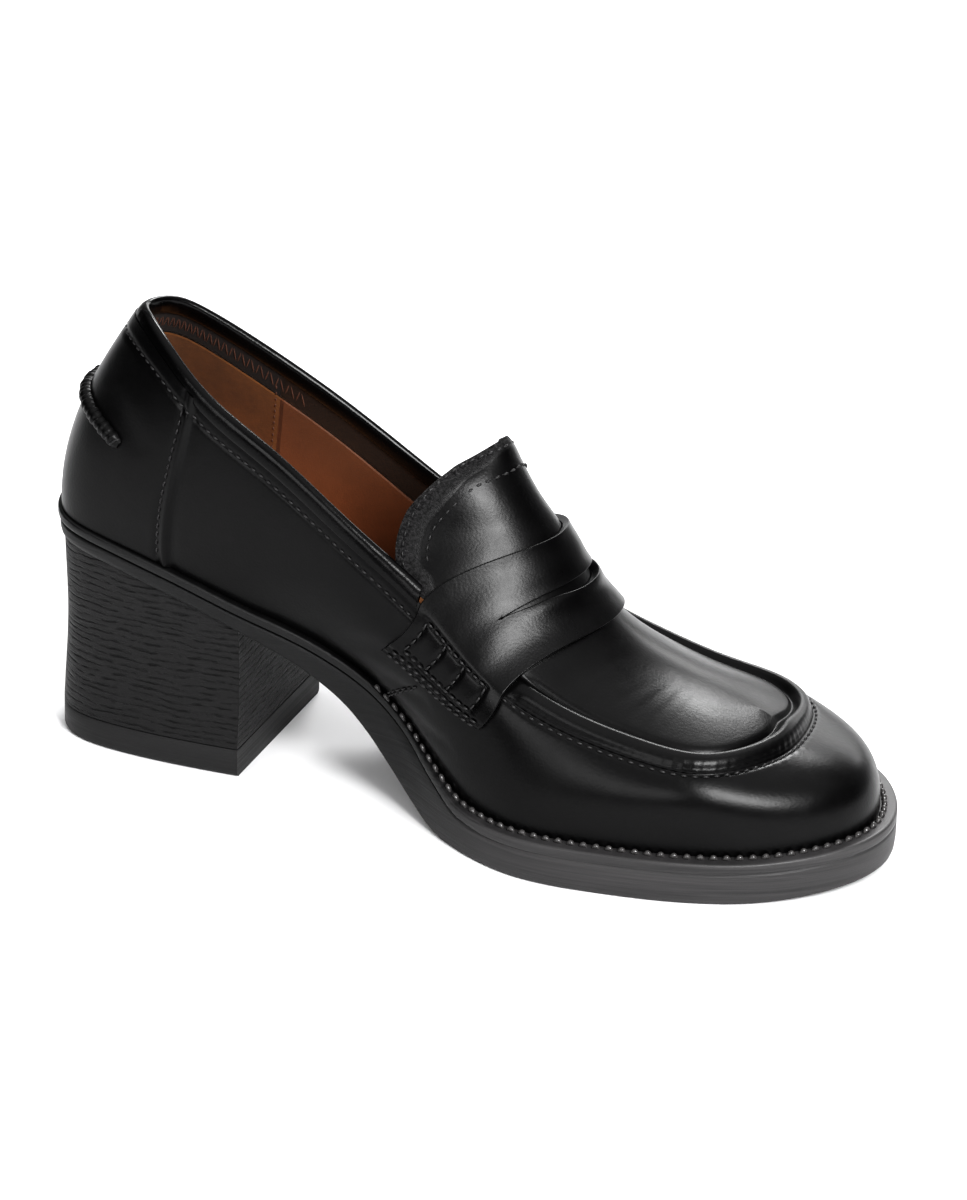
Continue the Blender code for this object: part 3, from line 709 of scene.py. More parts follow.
@dataclass(frozen=True)
class Lining:
    """Smooth tan lining in front, brushed suede lining at the heel, and a black facing at the top."""

    name: str = "lining"
    front: tuple[float, float, float] = (0.175, 0.066, 0.027)
    heel: tuple[float, float, float] = (0.125, 0.050, 0.013)
    facing: tuple[float, float, float] = (0.010, 0.0055, 0.0045)
    seam_section: float = 3.1
    facing_drop: float = 9.5

    def material(self) -> bpy.types.Material:
        """Builds the finish.

        Returns:
            The material.
        """
        s = Shader(self.name)
        section, drop = s.read("section"), s.read("drop")
        cloud = s.noise(70.0, 4.0)
        nap = s.noise(900.0, 4.0, 0.7)
        front = s.mix(s.fit(cloud, 0.3, 0.7), self.front, tuple(c * 0.78 for c in self.front))
        brushed = s.noise(160.0, 5.0, 0.7)
        heel = s.mix(s.fit(brushed, 0.3, 0.7), self.heel, tuple(c * 1.45 for c in self.heel))
        at_heel = s.calc("LESS_THAN", section, self.seam_section)
        near_top = s.calc("LESS_THAN", drop, self.facing_drop)
        body = s.mix(at_heel, front, heel)
        s.set(Base_Color=s.mix(near_top, body, self.facing))
        s.set(Roughness=s.calc("ADD", s.calc("MULTIPLY", at_heel, 0.4), 0.5))
        s.surface.inputs["Sheen Weight"].default_value = 0.15
        s.surface.inputs["Sheen Roughness"].default_value = 0.5
        seam = s.calc("ABSOLUTE", s.calc("SUBTRACT", section, self.seam_section))
        step = s.bump(s.fit(seam, 0.0, 0.05), 0.0005)
        from_fold = s.calc("ABSOLUTE", s.calc("SUBTRACT", drop, self.facing_drop))
        fold = s.bump(s.fit(from_fold, 0.0, 0.7), 0.0005, step)
        s.set(Normal=s.bump(nap, 0.0002, fold, 0.5))
        return s.material


@dataclass(frozen=True)
class TanSock:
    """Tan leather of the insole, a little polished by the hand, with fine pores."""

    name: str = "tan_sock"
    colour: tuple[float, float, float] = (0.74, 0.39, 0.190)
    shade: tuple[float, float, float] = (0.62, 0.30, 0.135)

    def material(self) -> bpy.types.Material:
        """Builds the finish.

        Returns:
            The material.
        """
        s = Shader(self.name)
        cloud = s.noise(55.0, 5.0, 0.6)
        s.set(Base_Color=s.mix(s.fit(cloud, 0.3, 0.72), self.colour, self.shade))
        s.set(Roughness=s.fit(s.noise(200.0), 0.3, 0.7, 0.42, 0.58))
        pores = s.bump(s.cells(1300.0), 0.00007, strength=0.5)
        s.set(Normal=s.bump(cloud, 0.0005, pores, 0.3))
        return s.material


@dataclass(frozen=True)
class BrushedRubber:
    """Dark sole rubber whose side was trimmed, which leaves fine level lines."""

    name: str = "brushed_rubber"
    dark: tuple[float, float, float] = (0.026, 0.0255, 0.026)
    light: tuple[float, float, float] = (0.056, 0.054, 0.055)
    waist: tuple[float, float, float] = (0.006, 0.006, 0.0062)
    roughness: float = 0.48
    waist_from: float = -0.005
    waist_to: float = 0.022

    def material(self) -> bpy.types.Material:
        """Builds the finish.

        Returns:
            The material.
        """
        s = Shader(self.name)
        lines = s.noise(1.0, 4.0, 0.62, s.stretched(22.0, 22.0, 1500.0))
        coarse = s.noise(1.0, 2.0, 0.5, s.stretched(9.0, 9.0, 420.0))
        both = s.calc("ADD", s.calc("MULTIPLY", lines, 0.65), s.calc("MULTIPLY", coarse, 0.35))
        along = s.add("ShaderNodeSeparateXYZ", {0: s.where}).outputs["X"]
        brushed = s.mix(s.fit(both, 0.36, 0.66), self.dark, self.light)
        s.set(Base_Color=s.mix(s.fit(along, self.waist_from, self.waist_to), self.waist, brushed))
        s.set(Roughness=s.fit(both, 0.35, 0.7, self.roughness - 0.06, self.roughness + 0.14))
        s.surface.inputs["Specular IOR Level"].default_value = 0.42
        grit = s.bump(s.noise(1600.0, 3.0), 0.00005, strength=0.6)
        s.set(Normal=s.bump(both, 0.00022, grit, 0.8))
        return s.material


@dataclass(frozen=True)
class StackedHeel:
    """Heel stacked from thin layers, stained black: level layer lines with torn fibres between."""

    name: str = "stacked_heel"
    dark: tuple[float, float, float] = (0.004, 0.0038, 0.004)
    light: tuple[float, float, float] = (0.019, 0.0185, 0.019)
    layers_per_metre: float = 520.0

    def material(self) -> bpy.types.Material:
        """Builds the finish.

        Returns:
            The material.
        """
        s = Shader(self.name)
        drift = s.calc("MULTIPLY", s.noise(1.0, 3.0, 0.6, s.stretched(60.0, 60.0, 140.0)), 0.0042)
        split = s.add("ShaderNodeSeparateXYZ", {0: s.where})
        level = s.calc("ADD", split.outputs["Z"], drift)
        wave = s.calc("FRACT", s.calc("MULTIPLY", level, self.layers_per_metre))
        ridge = s.calc("ABSOLUTE", s.calc("SUBTRACT", wave, 0.5))
        fibre = s.noise(1.0, 5.0, 0.68, s.stretched(120.0, 120.0, 1250.0))
        torn = s.noise(1.0, 4.0, 0.6, s.stretched(240.0, 240.0, 620.0))
        lines = s.calc("MULTIPLY", s.fit(ridge, 0.26, 0.5), s.fit(torn, 0.38, 0.62))
        height = s.calc("SUBTRACT", s.calc("MULTIPLY", fibre, 0.6), s.calc("MULTIPLY", lines, 0.75))
        s.set(Base_Color=s.mix(s.fit(height, -0.15, 0.5), self.dark, self.light))
        s.set(Roughness=s.fit(fibre, 0.3, 0.7, 0.42, 0.62))
        s.surface.inputs["Specular IOR Level"].default_value = 0.30
        s.set(Normal=s.bump(height, 0.00055, strength=0.9))
        return s.material


@dataclass(frozen=True)
class Thread:
    """Waxed sewing thread, twisted, in one colour."""

    name: str = "black_thread"
    colour: tuple[float, float, float] = (0.013, 0.0125, 0.013)
    roughness: float = 0.42

    def material(self) -> bpy.types.Material:
        """Builds the finish.

        Returns:
            The material.
        """
        s = Shader(self.name)
        twist = s.noise(2600.0, 2.0)
        dark, light = (tuple(c * share for c in self.colour) for share in (0.7, 1.5))
        s.set(Base_Color=s.mix(twist, dark, light))
        s.set(Roughness=s.fit(twist, 0.3, 0.7, self.roughness - 0.08, self.roughness + 0.12))
        s.set(Normal=s.bump(twist, 0.00008, strength=0.7))
        return s.material


@dataclass(frozen=True)
class PaleFloor:
    """White studio floor with the faintest unevenness."""

    name: str = "pale_floor"
    colour: tuple[float, float, float] = (0.86, 0.86, 0.865)

    def material(self) -> bpy.types.Material:
        """Builds the finish.

        Returns:
            The material.
        """
        s = Shader(self.name)
        shade = tuple(c * 0.985 for c in self.colour)
        s.set(Base_Color=s.mix(s.noise(3.0), self.colour, shade), Roughness=0.72)
        s.surface.inputs["Specular IOR Level"].default_value = 0.25
        return s.material


class Finishes:
    """Makes each finish once and hands it to the pieces."""

    def __init__(self) -> None:
        """Starts with none made."""
        self._made: dict[str, bpy.types.Material] = {}

    def get(self, finish: object) -> bpy.types.Material:
        """The material of a finish, made when it is first asked for.

        Args:
            finish: The finish.

        Returns:
            The material.
        """
        if finish.name not in self._made:
            self._made[finish.name] = finish.material()
        return self._made[finish.name]


FINISHES = Finishes()


def make_piece(
    name: str,
    points: np.ndarray,
    faces: Sequence[Sequence[int]],
    finishes: Sequence[object],
    node: Node,
    replaces: bool = False,
    finish_of: np.ndarray | None = None,
    fields: dict[str, np.ndarray] | None = None,
    sharp_over: float = 40.0,
    bevel: float = 0.0,
) -> bpy.types.Object:
    """Makes an object of the shoe from points in the last's millimetres.

    Args:
        name: The piece's name.
        points: One row for each point.
        faces: Point numbers round each face.
        finishes: The finishes that its faces use.
        node: The CAD node that it belongs to.
        replaces: Whether it is drawn in place of that node.
        finish_of: For each face, which of the finishes it takes.
        fields: Values kept at the points for the finishes to read.
        sharp_over: Edges that turn by more than this many degrees stay sharp.
        bevel: Width in millimetres of the rounding along sharp edges.

    Returns:
        The object, riding on the shoe.
    """
    mesh = bpy.data.meshes.new(name)
    mesh.from_pydata(((points + FRAME_SHIFT) * MM).tolist(), [], [list(map(int, face)) for face in faces])
    for finish in finishes:
        mesh.materials.append(FINISHES.get(finish))
    if finish_of is not None:
        mesh.polygons.foreach_set("material_index", np.asarray(finish_of, dtype=np.int32))
    for key, values in (fields or {}).items():
        store = mesh.attributes.new(key, "FLOAT", "POINT")
        store.data.foreach_set("value", np.asarray(values, dtype=np.float32))
    mesh.shade_smooth()
    mesh.set_sharp_from_angle(angle=math.radians(sharp_over))
    piece = bpy.data.objects.new(name, mesh)
    bpy.context.scene.collection.objects.link(piece)
    if bevel:
        rounding = piece.modifiers.new("rounding", "BEVEL")
        rounding.width = bevel * MM
        rounding.segments = 3
        rounding.limit_method = "ANGLE"
        rounding.angle_limit = math.radians(sharp_over)
        rounding.harden_normals = False
    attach(piece, "root")
    if replaces:
        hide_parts(node.value)
    return piece


def wrap_layers(
    layers: Sequence[np.ndarray],
    faces: Sequence[Sequence[int]],
) -> tuple[np.ndarray, list, np.ndarray]:
    """Closes a solid between layers of points that share their faces.

    Args:
        layers: Points of each layer, the outermost first.
        faces: Faces of one layer.

    Returns:
        All points, all faces, and for each face 0 outside, 1 inside and 2 on the border.
    """
    count, levels = len(layers[0]), len(layers)
    seen = set()
    for face in faces:
        seen.update(zip(face, list(face[1:]) + [face[0]]))
    border = [(a, b) for a, b in seen if (b, a) not in seen]
    shell = [list(face) for face in faces]
    kinds = [0] * len(faces)
    shell += [[i + count * (levels - 1) for i in reversed(face)] for face in faces]
    kinds += [1] * len(faces)
    for level in range(levels - 1):
        top, low = count * level, count * (level + 1)
        shell += [[b + top, a + top, a + low, b + low] for a, b in border]
        kinds += [2] * len(border)
    return np.concatenate(layers), shell, np.array(kinds)


def point_normals(points: np.ndarray, faces: np.ndarray) -> np.ndarray:
    """Unit normals at the points of a mesh of four-sided faces.

    Args:
        points: One row for each point.
        faces: Four point numbers for each face.

    Returns:
        One normal for each point.
    """
    corner = points[faces]
    turn = np.cross(corner[:, 2] - corner[:, 0], corner[:, 3] - corner[:, 1])
    normals = np.zeros_like(points)
    for k in range(4):
        np.add.at(normals, faces[:, k], turn)
    return unit(normals)


@dataclass
class StitchRow:
    """A row of machine stitches along a path, each a short rounded thread that dips at its ends."""

    name: str
    node: Node
    finish: object = field(default_factory=Thread)
    length: float = 1.9
    gap: float = 0.7
    radius: float = 0.30
    rise: float = 0.16
    sides: int = 6
    stations: int = 5
    paths: list[tuple[np.ndarray, np.ndarray]] = field(default_factory=list)

    def along(self, points: np.ndarray, normals: np.ndarray) -> "StitchRow":
        """Adds a path.

        Args:
            points: Points on the surface.
            normals: The surface's normals there.

        Returns:
            The row itself.
        """
        self.paths.append((points, normals))
        return self

    def _threads(self, points: np.ndarray, normals: np.ndarray) -> np.ndarray:
        """Rings of points for each stitch of one path.

        Args:
            points: The path.
            normals: The surface's normals on it.

        Returns:
            Points by stitch, station and side.
        """
        run = np.concatenate([[0.0], np.cumsum(np.linalg.norm(np.diff(points, axis=0), axis=1))])
        count = max(1, int(round(run[-1] / (self.length + self.gap))))
        pitch = run[-1] / count
        length = self.length * pitch / (self.length + self.gap)
        middles = (np.arange(count) + 0.5) * pitch
        u = np.linspace(-1, 1, self.stations)
        place = middles[:, None] + 0.5 * length * u[None, :]
        centre = np.stack([np.interp(place, run, points[:, k]) for k in range(3)], axis=-1)
        up = unit(np.stack([np.interp(place, run, normals[:, k]) for k in range(3)], axis=-1))
        tangent = unit(np.gradient(centre, axis=1))
        side = unit(np.cross(tangent, up))
        swell = self.radius * np.sqrt(np.maximum(1 - 0.86 * u**2, 0.02))
        lift = self.rise * (1 - u**2) - 0.12
        centre = centre + up * lift[None, :, None]
        turns = 2 * np.pi * np.arange(self.sides) / self.sides
        rings = centre[:, :, None, :] + swell[None, :, None, None] * (
            np.cos(turns)[None, None, :, None] * side[:, :, None, :]
            + np.sin(turns)[None, None, :, None] * up[:, :, None, :]
        )
        return rings

    def build(self) -> bpy.types.Object:
        """Makes all stitches of the row as one piece.

        Returns:
            The piece.
        """
        rings = np.concatenate([self._threads(*path) for path in self.paths])
        count = len(rings)
        per = self.stations * self.sides
        faces = []
        pattern = []
        for i in range(self.stations - 1):
            for k in range(self.sides):
                j = (k + 1) % self.sides
                a, b = i * self.sides, (i + 1) * self.sides
                pattern.append([a + k, b + k, b + j, a + j])
        ends = [list(range(self.sides)), [per - 1 - k for k in range(self.sides)]]
        for n in range(count):
            base = n * per
            faces += [[base + i for i in face] for face in pattern + ends]
        return make_piece(self.name, rings.reshape(-1, 3), faces, [self.finish], self.node, sharp_over=80.0)


class Crease(NamedTuple):
    """A crease in the wall: where it starts and ends, its depth and its width."""

    at_start: float
    v_start: float
    at_end: float
    v_end: float
    depth: float
    width: float


WALL_CREASES = (
    Crease(6.2, 0.18, 7.2, 0.46, 0.45, 2.2),
    Crease(6.9, 0.12, 7.9, 0.34, 0.35, 2.0),
    Crease(5.4, 0.16, 6.2, 0.55, 0.40, 3.0),
    Crease(19.6, 0.20, 18.8, 0.45, 0.45, 2.4),
    Crease(18.9, 0.12, 18.1, 0.34, 0.35, 2.0),
    Crease(20.6, 0.20, 19.9, 0.52, 0.35, 3.0),
    Crease(1.2, 0.70, 2.2, 0.52, 0.30, 3.0),
    Crease(24.8, 0.72, 23.9, 0.52, 0.30, 3.0),
)


RIDGE = (
    Height(0.0, 0.0),
    Height(0.8, 0.45),
    Height(2.0, 1.50),
    Height(3.4, 2.05),
    Height(4.8, 2.10),
    Height(5.6, 1.80),
    Height(6.1, 1.10),
    Height(6.5, 0.10),
    Height(6.9, -0.70),
    Height(7.4, -0.95),
    Height(8.2, -0.50),
    Height(9.4, -0.05),
    Height(10.4, 0.0),
)


class PlugCrease(NamedTuple):
    """A crease across the plug: section, lean, its middle and reach across, depth and width."""

    section: float
    lean: float
    middle: float
    reach: float
    depth: float
    width: float


PLUG_CREASES = (
    PlugCrease(8.75, 0.30, -0.35, 0.35, 0.04, 0.14),
    PlugCrease(9.60, 0.55, -0.50, 0.20, 0.030, 0.06),
    PlugCrease(9.88, 0.50, -0.48, 0.26, 0.040, 0.06),
    PlugCrease(10.14, 0.45, -0.46, 0.22, 0.032, 0.05),
    PlugCrease(10.42, 0.40, -0.44, 0.18, 0.022, 0.05),
)


@dataclass
class Upper:
    """Quarters, counter, vamp and plug in one hollow wall, with its lining side."""

    counter_seam: float = 0.15
    collar_seam: float = 4.6
    seam_depth: float = 0.30
    foot_depth: float = 0.25
    collar_depth: float = 0.38
    apron_depth: float = 0.55
    pucker_pitch: float = 2.9
    pucker_depth: float = 0.16
    wall_rings: int = 52
    plug_near_steps: tuple[tuple[float, ...], ...] = ((0.4, 5.0, 0.4), (5.0, 8.0, 0.22), (8.1, 10.7, 0.4))
    plug_far_rings: int = 26
    section_step: float = 0.055
    counter_steps: tuple[float, ...] = (
        -0.18,
        -0.15,
        -0.12,
        -0.08,
        -0.055,
        -0.035,
        -0.015,
        0.0,
        0.015,
        0.03,
        0.045,
    )

    def stations(self) -> np.ndarray:
        """Section numbers of the columns, closer together where the counter's edge is.

        Returns:
            Rising section numbers from the heel to the toe.
        """
        regular = np.linspace(0, LAST_SECTION, int(LAST_SECTION / self.section_step) + 1)
        extra = COUNTER_SECTION + np.array(self.counter_steps)
        kept = [s for s in regular if min(abs(s - e) for e in [*extra, THROAT_SECTION]) > 0.02]
        return np.array(sorted([*kept, *extra, THROAT_SECTION]))

    def wall_relief(self, at: np.ndarray, v: np.ndarray, drop: np.ndarray) -> np.ndarray:
        """Height of the outside above the last.

        Args:
            at: Parameters round the shoe.
            v: Shares up the wall.
            drop: Distances down from the edge.

        Returns:
            Heights in millimetres.
        """
        section = LAST.section_of(at)
        height = COUNTER_STEP * soft_step(section, COUNTER_SECTION + 0.035, COUNTER_SECTION - 0.035)
        height = height + self.seam_depth * bell(section, COUNTER_SECTION - 0.055, 0.035)
        height = height - self.foot_depth * bell(section, COUNTER_SECTION + 0.06, 0.05)
        height = height - self.seam_depth * bell(section, COUNTER_SECTION - self.counter_seam, 0.035)
        collar = section < STRAP_REAR_SECTION
        height = height - np.where(collar, self.collar_depth * bell(drop, self.collar_seam, 0.7), 0.0)
        apron = soft_step(section, STRAP_FRONT_SECTION - 0.2, STRAP_FRONT_SECTION + 0.3)
        height = height - apron * self.apron_depth * bell(drop, 0.4, 0.9)
        gather = np.cos(2 * np.pi * self.run(at) / self.pucker_pitch)
        height = height + 0.5 * apron * self.pucker_depth * gather * bell(drop, 1.4, 1.4)
        for crease in WALL_CREASES:
            height = height - self._crease_depth(at, v, crease)
        return height

    @staticmethod
    def _crease_depth(at: np.ndarray, v: np.ndarray, crease: Crease) -> np.ndarray:
        """Depth of one crease at points of the wall.

        Args:
            at: Parameters round the shoe.
            v: Shares up the wall.
            crease: The crease.

        Returns:
            Depths in millimetres.
        """
        scale = np.array([11.0, 42.0])
        start = np.array([crease.at_start, crease.v_start]) * scale
        end = np.array([crease.at_end, crease.v_end]) * scale
        here = np.stack([at * scale[0], v * scale[1]], axis=-1)
        along = end - start
        share = ((here - start) @ along) / (along @ along)
        off = np.linalg.norm(here - (start + np.clip(share, 0, 1)[..., None] * along), axis=-1)
        fade = np.sin(np.pi * np.clip(share, 0.0, 1.0)) ** 0.7
        return crease.depth * fade * np.exp(-((off / crease.width) ** 2))

    @staticmethod
    def run(at: np.ndarray) -> np.ndarray:
        """Distance along the apron seam.

        Args:
            at: Parameters round the shoe.

        Returns:
            Distances in millimetres.
        """
        dense = np.linspace(0, 2 * LAST_SECTION, 2000)
        points = LAST.edge(dense)
        length = np.concatenate([[0.0], np.cumsum(np.linalg.norm(np.diff(points, axis=0), axis=1))])
        return np.interp(np.asarray(at, float) % (2 * LAST_SECTION), dense, length)

    def plug_relief(
        self,
        section: np.ndarray,
        side: np.ndarray,
        distance: np.ndarray,
        w: np.ndarray,
    ) -> np.ndarray:
        """Height of the plug above the last: the rolled ridge, the groove inside it and creases.

        Args:
            section: Section numbers.
            side: Signs of Y.
            distance: Distances in from the seam.
            w: Shares towards the spine.

        Returns:
            Heights in millimetres.
        """
        ridge = smooth_table(distance, [row.x for row in RIDGE], [row.z for row in RIDGE])
        fade = soft_step(section, STRAP_FRONT_SECTION - 0.15, STRAP_FRONT_SECTION + 0.35)
        gather = np.cos(2 * np.pi * self.run(LAST.place(section, side)) / self.pucker_pitch)
        pucker = self.pucker_depth * gather * bell(distance, 1.0, 1.4)
        height = (ridge + pucker) * fade
        across = side * (1 - w)
        for crease in PLUG_CREASES:
            line = crease.section + crease.lean * across
            fade = bell(across, crease.middle, crease.reach) * soft_step(distance, 8.5, 12.0)
            height = height - crease.depth * fade * bell(section, line, crease.width)
            height = height + 0.5 * crease.depth * fade * bell(section, line + 0.22, 1.2 * crease.width)
        return height

    def skin(self, at: np.ndarray, v: np.ndarray, lift: float = 0.0) -> tuple[np.ndarray, np.ndarray]:
        """Points on the outside of the wall and their normals.

        Args:
            at: Parameters round the shoe.
            v: Shares up the wall.
            lift: Height above the leather.

        Returns:
            Points and normals.
        """
        at, v = np.broadcast_arrays(np.asarray(at, float), np.asarray(v, float))
        normals = normals_of(LAST.wall, at, v, 1.0)
        base = LAST.wall(at, v)
        drop = np.linalg.norm(base - LAST.edge(at), axis=-1)
        return base + normals * (self.wall_relief(at, v, drop) + lift)[..., None], normals

    def share_at_drop(self, at: np.ndarray, drop: np.ndarray) -> np.ndarray:
        """Share up the wall at a distance down from the edge.

        Args:
            at: Parameters round the shoe.
            drop: Distances down from the edge.

        Returns:
            Shares, one for each parameter.
        """
        tries = np.linspace(1, 0, 60)
        grid = LAST.wall(np.repeat(at[:, None], len(tries), 1), np.repeat(tries[None], len(at), 0))
        far = np.linalg.norm(grid - grid[:, :1], axis=-1)
        return np.array([np.interp(d, row, tries) for d, row in zip(np.broadcast_to(drop, len(at)), far)])

    def build(self) -> bpy.types.Object:
        """Makes the upper with its lining side.

        Returns:
            The piece.
        """
        stations = self.stations()
        columns = [(s, -1) for s in stations] + [(s, 1) for s in stations[-2:0:-1]]
        section = np.array([c[0] for c in columns])
        side = np.array([c[1] for c in columns])
        at = LAST.place(section, side)
        share = np.linspace(0, 1, self.wall_rings + 1)
        v = 1 - (1 - share) ** 1.35
        grid_at, grid_v = np.meshgrid(at, v)
        wall = LAST.wall(grid_at, grid_v)
        drop = np.linalg.norm(wall - wall[-1:], axis=-1)
        points = [wall.reshape(-1, 3)]
        relief = [self.wall_relief(grid_at, grid_v, drop).ravel()]
        fields = {"section": [LAST.section_of(grid_at).ravel()], "drop": [drop.ravel()]}
        count = len(columns)
        number = {("wall", r): np.arange(count) + r * count for r in range(self.wall_rings + 1)}
        offset = wall.shape[0] * count
        front = np.where(section >= THROAT_SECTION - 1e-6)[0]
        near = np.concatenate([np.arange(*steps) for steps in self.plug_near_steps])
        span = LAST.plug_span(section[front], side[front])
        far = np.linspace(0, 1, self.plug_far_rings + 1)[1:]
        distances = [np.full(len(front), d) for d in near]
        distances += [near[-1] + f * (span - near[-1]) for f in far]
        for k, distance in enumerate(distances):
            w = distance / span
            last = k == len(distances) - 1
            numbers = np.full(count, -1)
            if last:
                keep = front[side[front] < 0]
                pick = np.isin(front, keep)
                numbers[keep] = offset + np.arange(len(keep))
                mirror = {round(float(section[c]), 6): numbers[c] for c in keep}
                for c in front[side[front] > 0]:
                    numbers[c] = mirror[round(float(section[c]), 6)]
            else:
                pick = np.ones(len(front), bool)
                numbers[front] = offset + np.arange(len(front))
            chosen = front[pick]
            points.append(LAST.plug(section[chosen], side[chosen], w[pick]))
            relief.append(self.plug_relief(section[chosen], side[chosen], distance[pick], w[pick]))
            fields["section"].append(section[chosen])
            fields["drop"].append(np.full(len(chosen), 99.0))
            number["plug", k] = numbers
            offset += len(chosen)
        order = [number["wall", r] for r in range(self.wall_rings + 1)]
        faces = []
        for r in range(self.wall_rings):
            low, high = order[r], order[r + 1]
            faces.append(np.stack([low, np.roll(low, -1), np.roll(high, -1), high], axis=1))
        rows = [order[-1]] + [number["plug", k] for k in range(len(distances))]
        pairs = front[:-1][np.diff(front) == 1]
        for low, high in zip(rows, rows[1:]):
            faces.append(np.stack([low[pairs], low[pairs + 1], high[pairs + 1], high[pairs]], axis=1))
        quads = np.concatenate(faces)
        base = np.concatenate(points)
        normals = point_normals(base, quads)
        outside = base + normals * np.concatenate(relief)[:, None]
        inside = base - normals * UPPER_WALL
        seats = LAST.sole_top(base[:, 0]) + 2 * SEAT_GAP
        feet = np.where(base[:, 2] <= seats)[0]
        for layer in (inside, outside):
            layer[feet, 2] = LAST.sole_top(layer[feet, 0]) + SEAT_GAP
        clean = [[i for n, i in enumerate(quad) if i not in quad[:n]] for quad in quads.tolist()]
        solid, shell, kinds = wrap_layers([outside, inside], clean)
        both = {key: np.tile(np.concatenate(values), 2) for key, values in fields.items()}
        return make_piece(
            "upper_leather",
            solid,
            shell,
            [BlackLeather(), Lining()],
            Node.UPPER,
            True,
            (kinds == 1).astype(int),
            both,
            sharp_over=60.0,
        )

    def stitch(self) -> list[bpy.types.Object]:
        """Sews the collar, counter, apron and side seams.

        Returns:
            The stitched pieces.
        """
        made = []
        at = np.linspace(-5.95, 5.95, 500)
        collar = StitchRow("collar_stitches", Node.UPPER, length=1.9, gap=0.75, radius=0.30, rise=0.3)
        collar.along(*self.skin(at, self.share_at_drop(at, self.collar_seam)))
        made.append(collar.build())
        counter = StitchRow("counter_stitches", Node.UPPER, length=1.8, gap=0.8, radius=0.30, rise=0.3)
        v = np.linspace(0.05, 0.90, 200)
        seam = COUNTER_SECTION - self.counter_seam
        for place in (seam, 2 * LAST_SECTION - seam):
            counter.along(*self.skin(np.full(len(v), place), v))
        made.append(counter.build())
        apron = StitchRow("apron_stitches", Node.UPPER, length=2.0, gap=0.9, radius=0.38, rise=0.3)
        at = np.linspace(7.95, 2 * LAST_SECTION - 7.95, 500)
        apron.along(*self.skin(at, self.share_at_drop(at, 1.0)))
        made.append(apron.build())
        side = StitchRow("side_seam_stitches", Node.UPPER, length=1.9, gap=0.8, radius=0.42, rise=0.36)
        share = np.linspace(0, 1, 40)
        for step in (0.0, 0.05):
            for mirrored in (False, True):
                at = 6.50 + 0.36 * share
                v = 0.02 + 0.40 * share**1.3 + step
                side.along(*self.skin(2 * LAST_SECTION - at if mirrored else at, v))
        made.append(side.build())
        return made


FOLD = (
    Height(1.10, -1.7),
    Height(1.42, -1.2),
    Height(1.52, 0.0),
    Height(1.58, 1.3),
    Height(1.45, 2.4),
    Height(1.10, 3.3),
    Height(0.60, 3.9),
    Height(0.0, 4.15),
)


@dataclass
class CollarBinding:
    """Rolled leather edge round the collar's topline."""

    end_section: float = 5.95
    foot_share: float = 0.93
    points: int = 260

    def build(self) -> bpy.types.Object:
        """Sweeps the roll along the topline.

        Returns:
            The piece.
        """
        at = np.linspace(-self.end_section, self.end_section, self.points)
        path = LAST.edge(at)
        ups = unit(path - LAST.wall(at, np.full(len(at), self.foot_share)))
        sides = unit(np.cross(np.gradient(path, axis=0), ups))
        out = np.column_stack([LAST.outward(LAST.edge, at), np.zeros(len(at))])
        sides *= np.sign((sides * out).sum(axis=1))[:, None]
        path = path - sides * UPPER_WALL / 2
        wave = 1 + 0.012 * np.sin(at * 23.0) + 0.008 * np.sin(at * 57.0 + 1.0)
        outer = [(row.x, row.z) for row in FOLD]
        shape = outer + [(-x, z) for x, z in outer[-2::-1]]
        rings = np.stack([path + sides * (x * wave)[:, None] + ups * z for x, z in shape], axis=1)
        leather = BlackLeather("binding_leather", roughness=0.22)
        return sweep_piece("collar_binding_roll", rings, leather, Node.COLLAR_BINDING)


def sweep_piece(name: str, rings: np.ndarray, finish: object, node: Node) -> bpy.types.Object:
    """Makes a closed piece from rings of points, one after the other.

    Args:
        name: The piece's name.
        rings: Points by ring and corner.
        finish: Its finish.
        node: The CAD node that it is drawn in place of.

    Returns:
        The piece.
    """
    count, corners = rings.shape[:2]
    faces = []
    for i in range(count - 1):
        here, there = i * corners, (i + 1) * corners
        for k in range(corners):
            after = (k + 1) % corners
            faces.append([here + k, there + k, there + after, here + after])
    faces.append(list(range(corners)))
    faces.append([(count - 1) * corners + k for k in reversed(range(corners))])
    return make_piece(name, rings.reshape(-1, 3), faces, [finish], node, True, sharp_over=50.0)


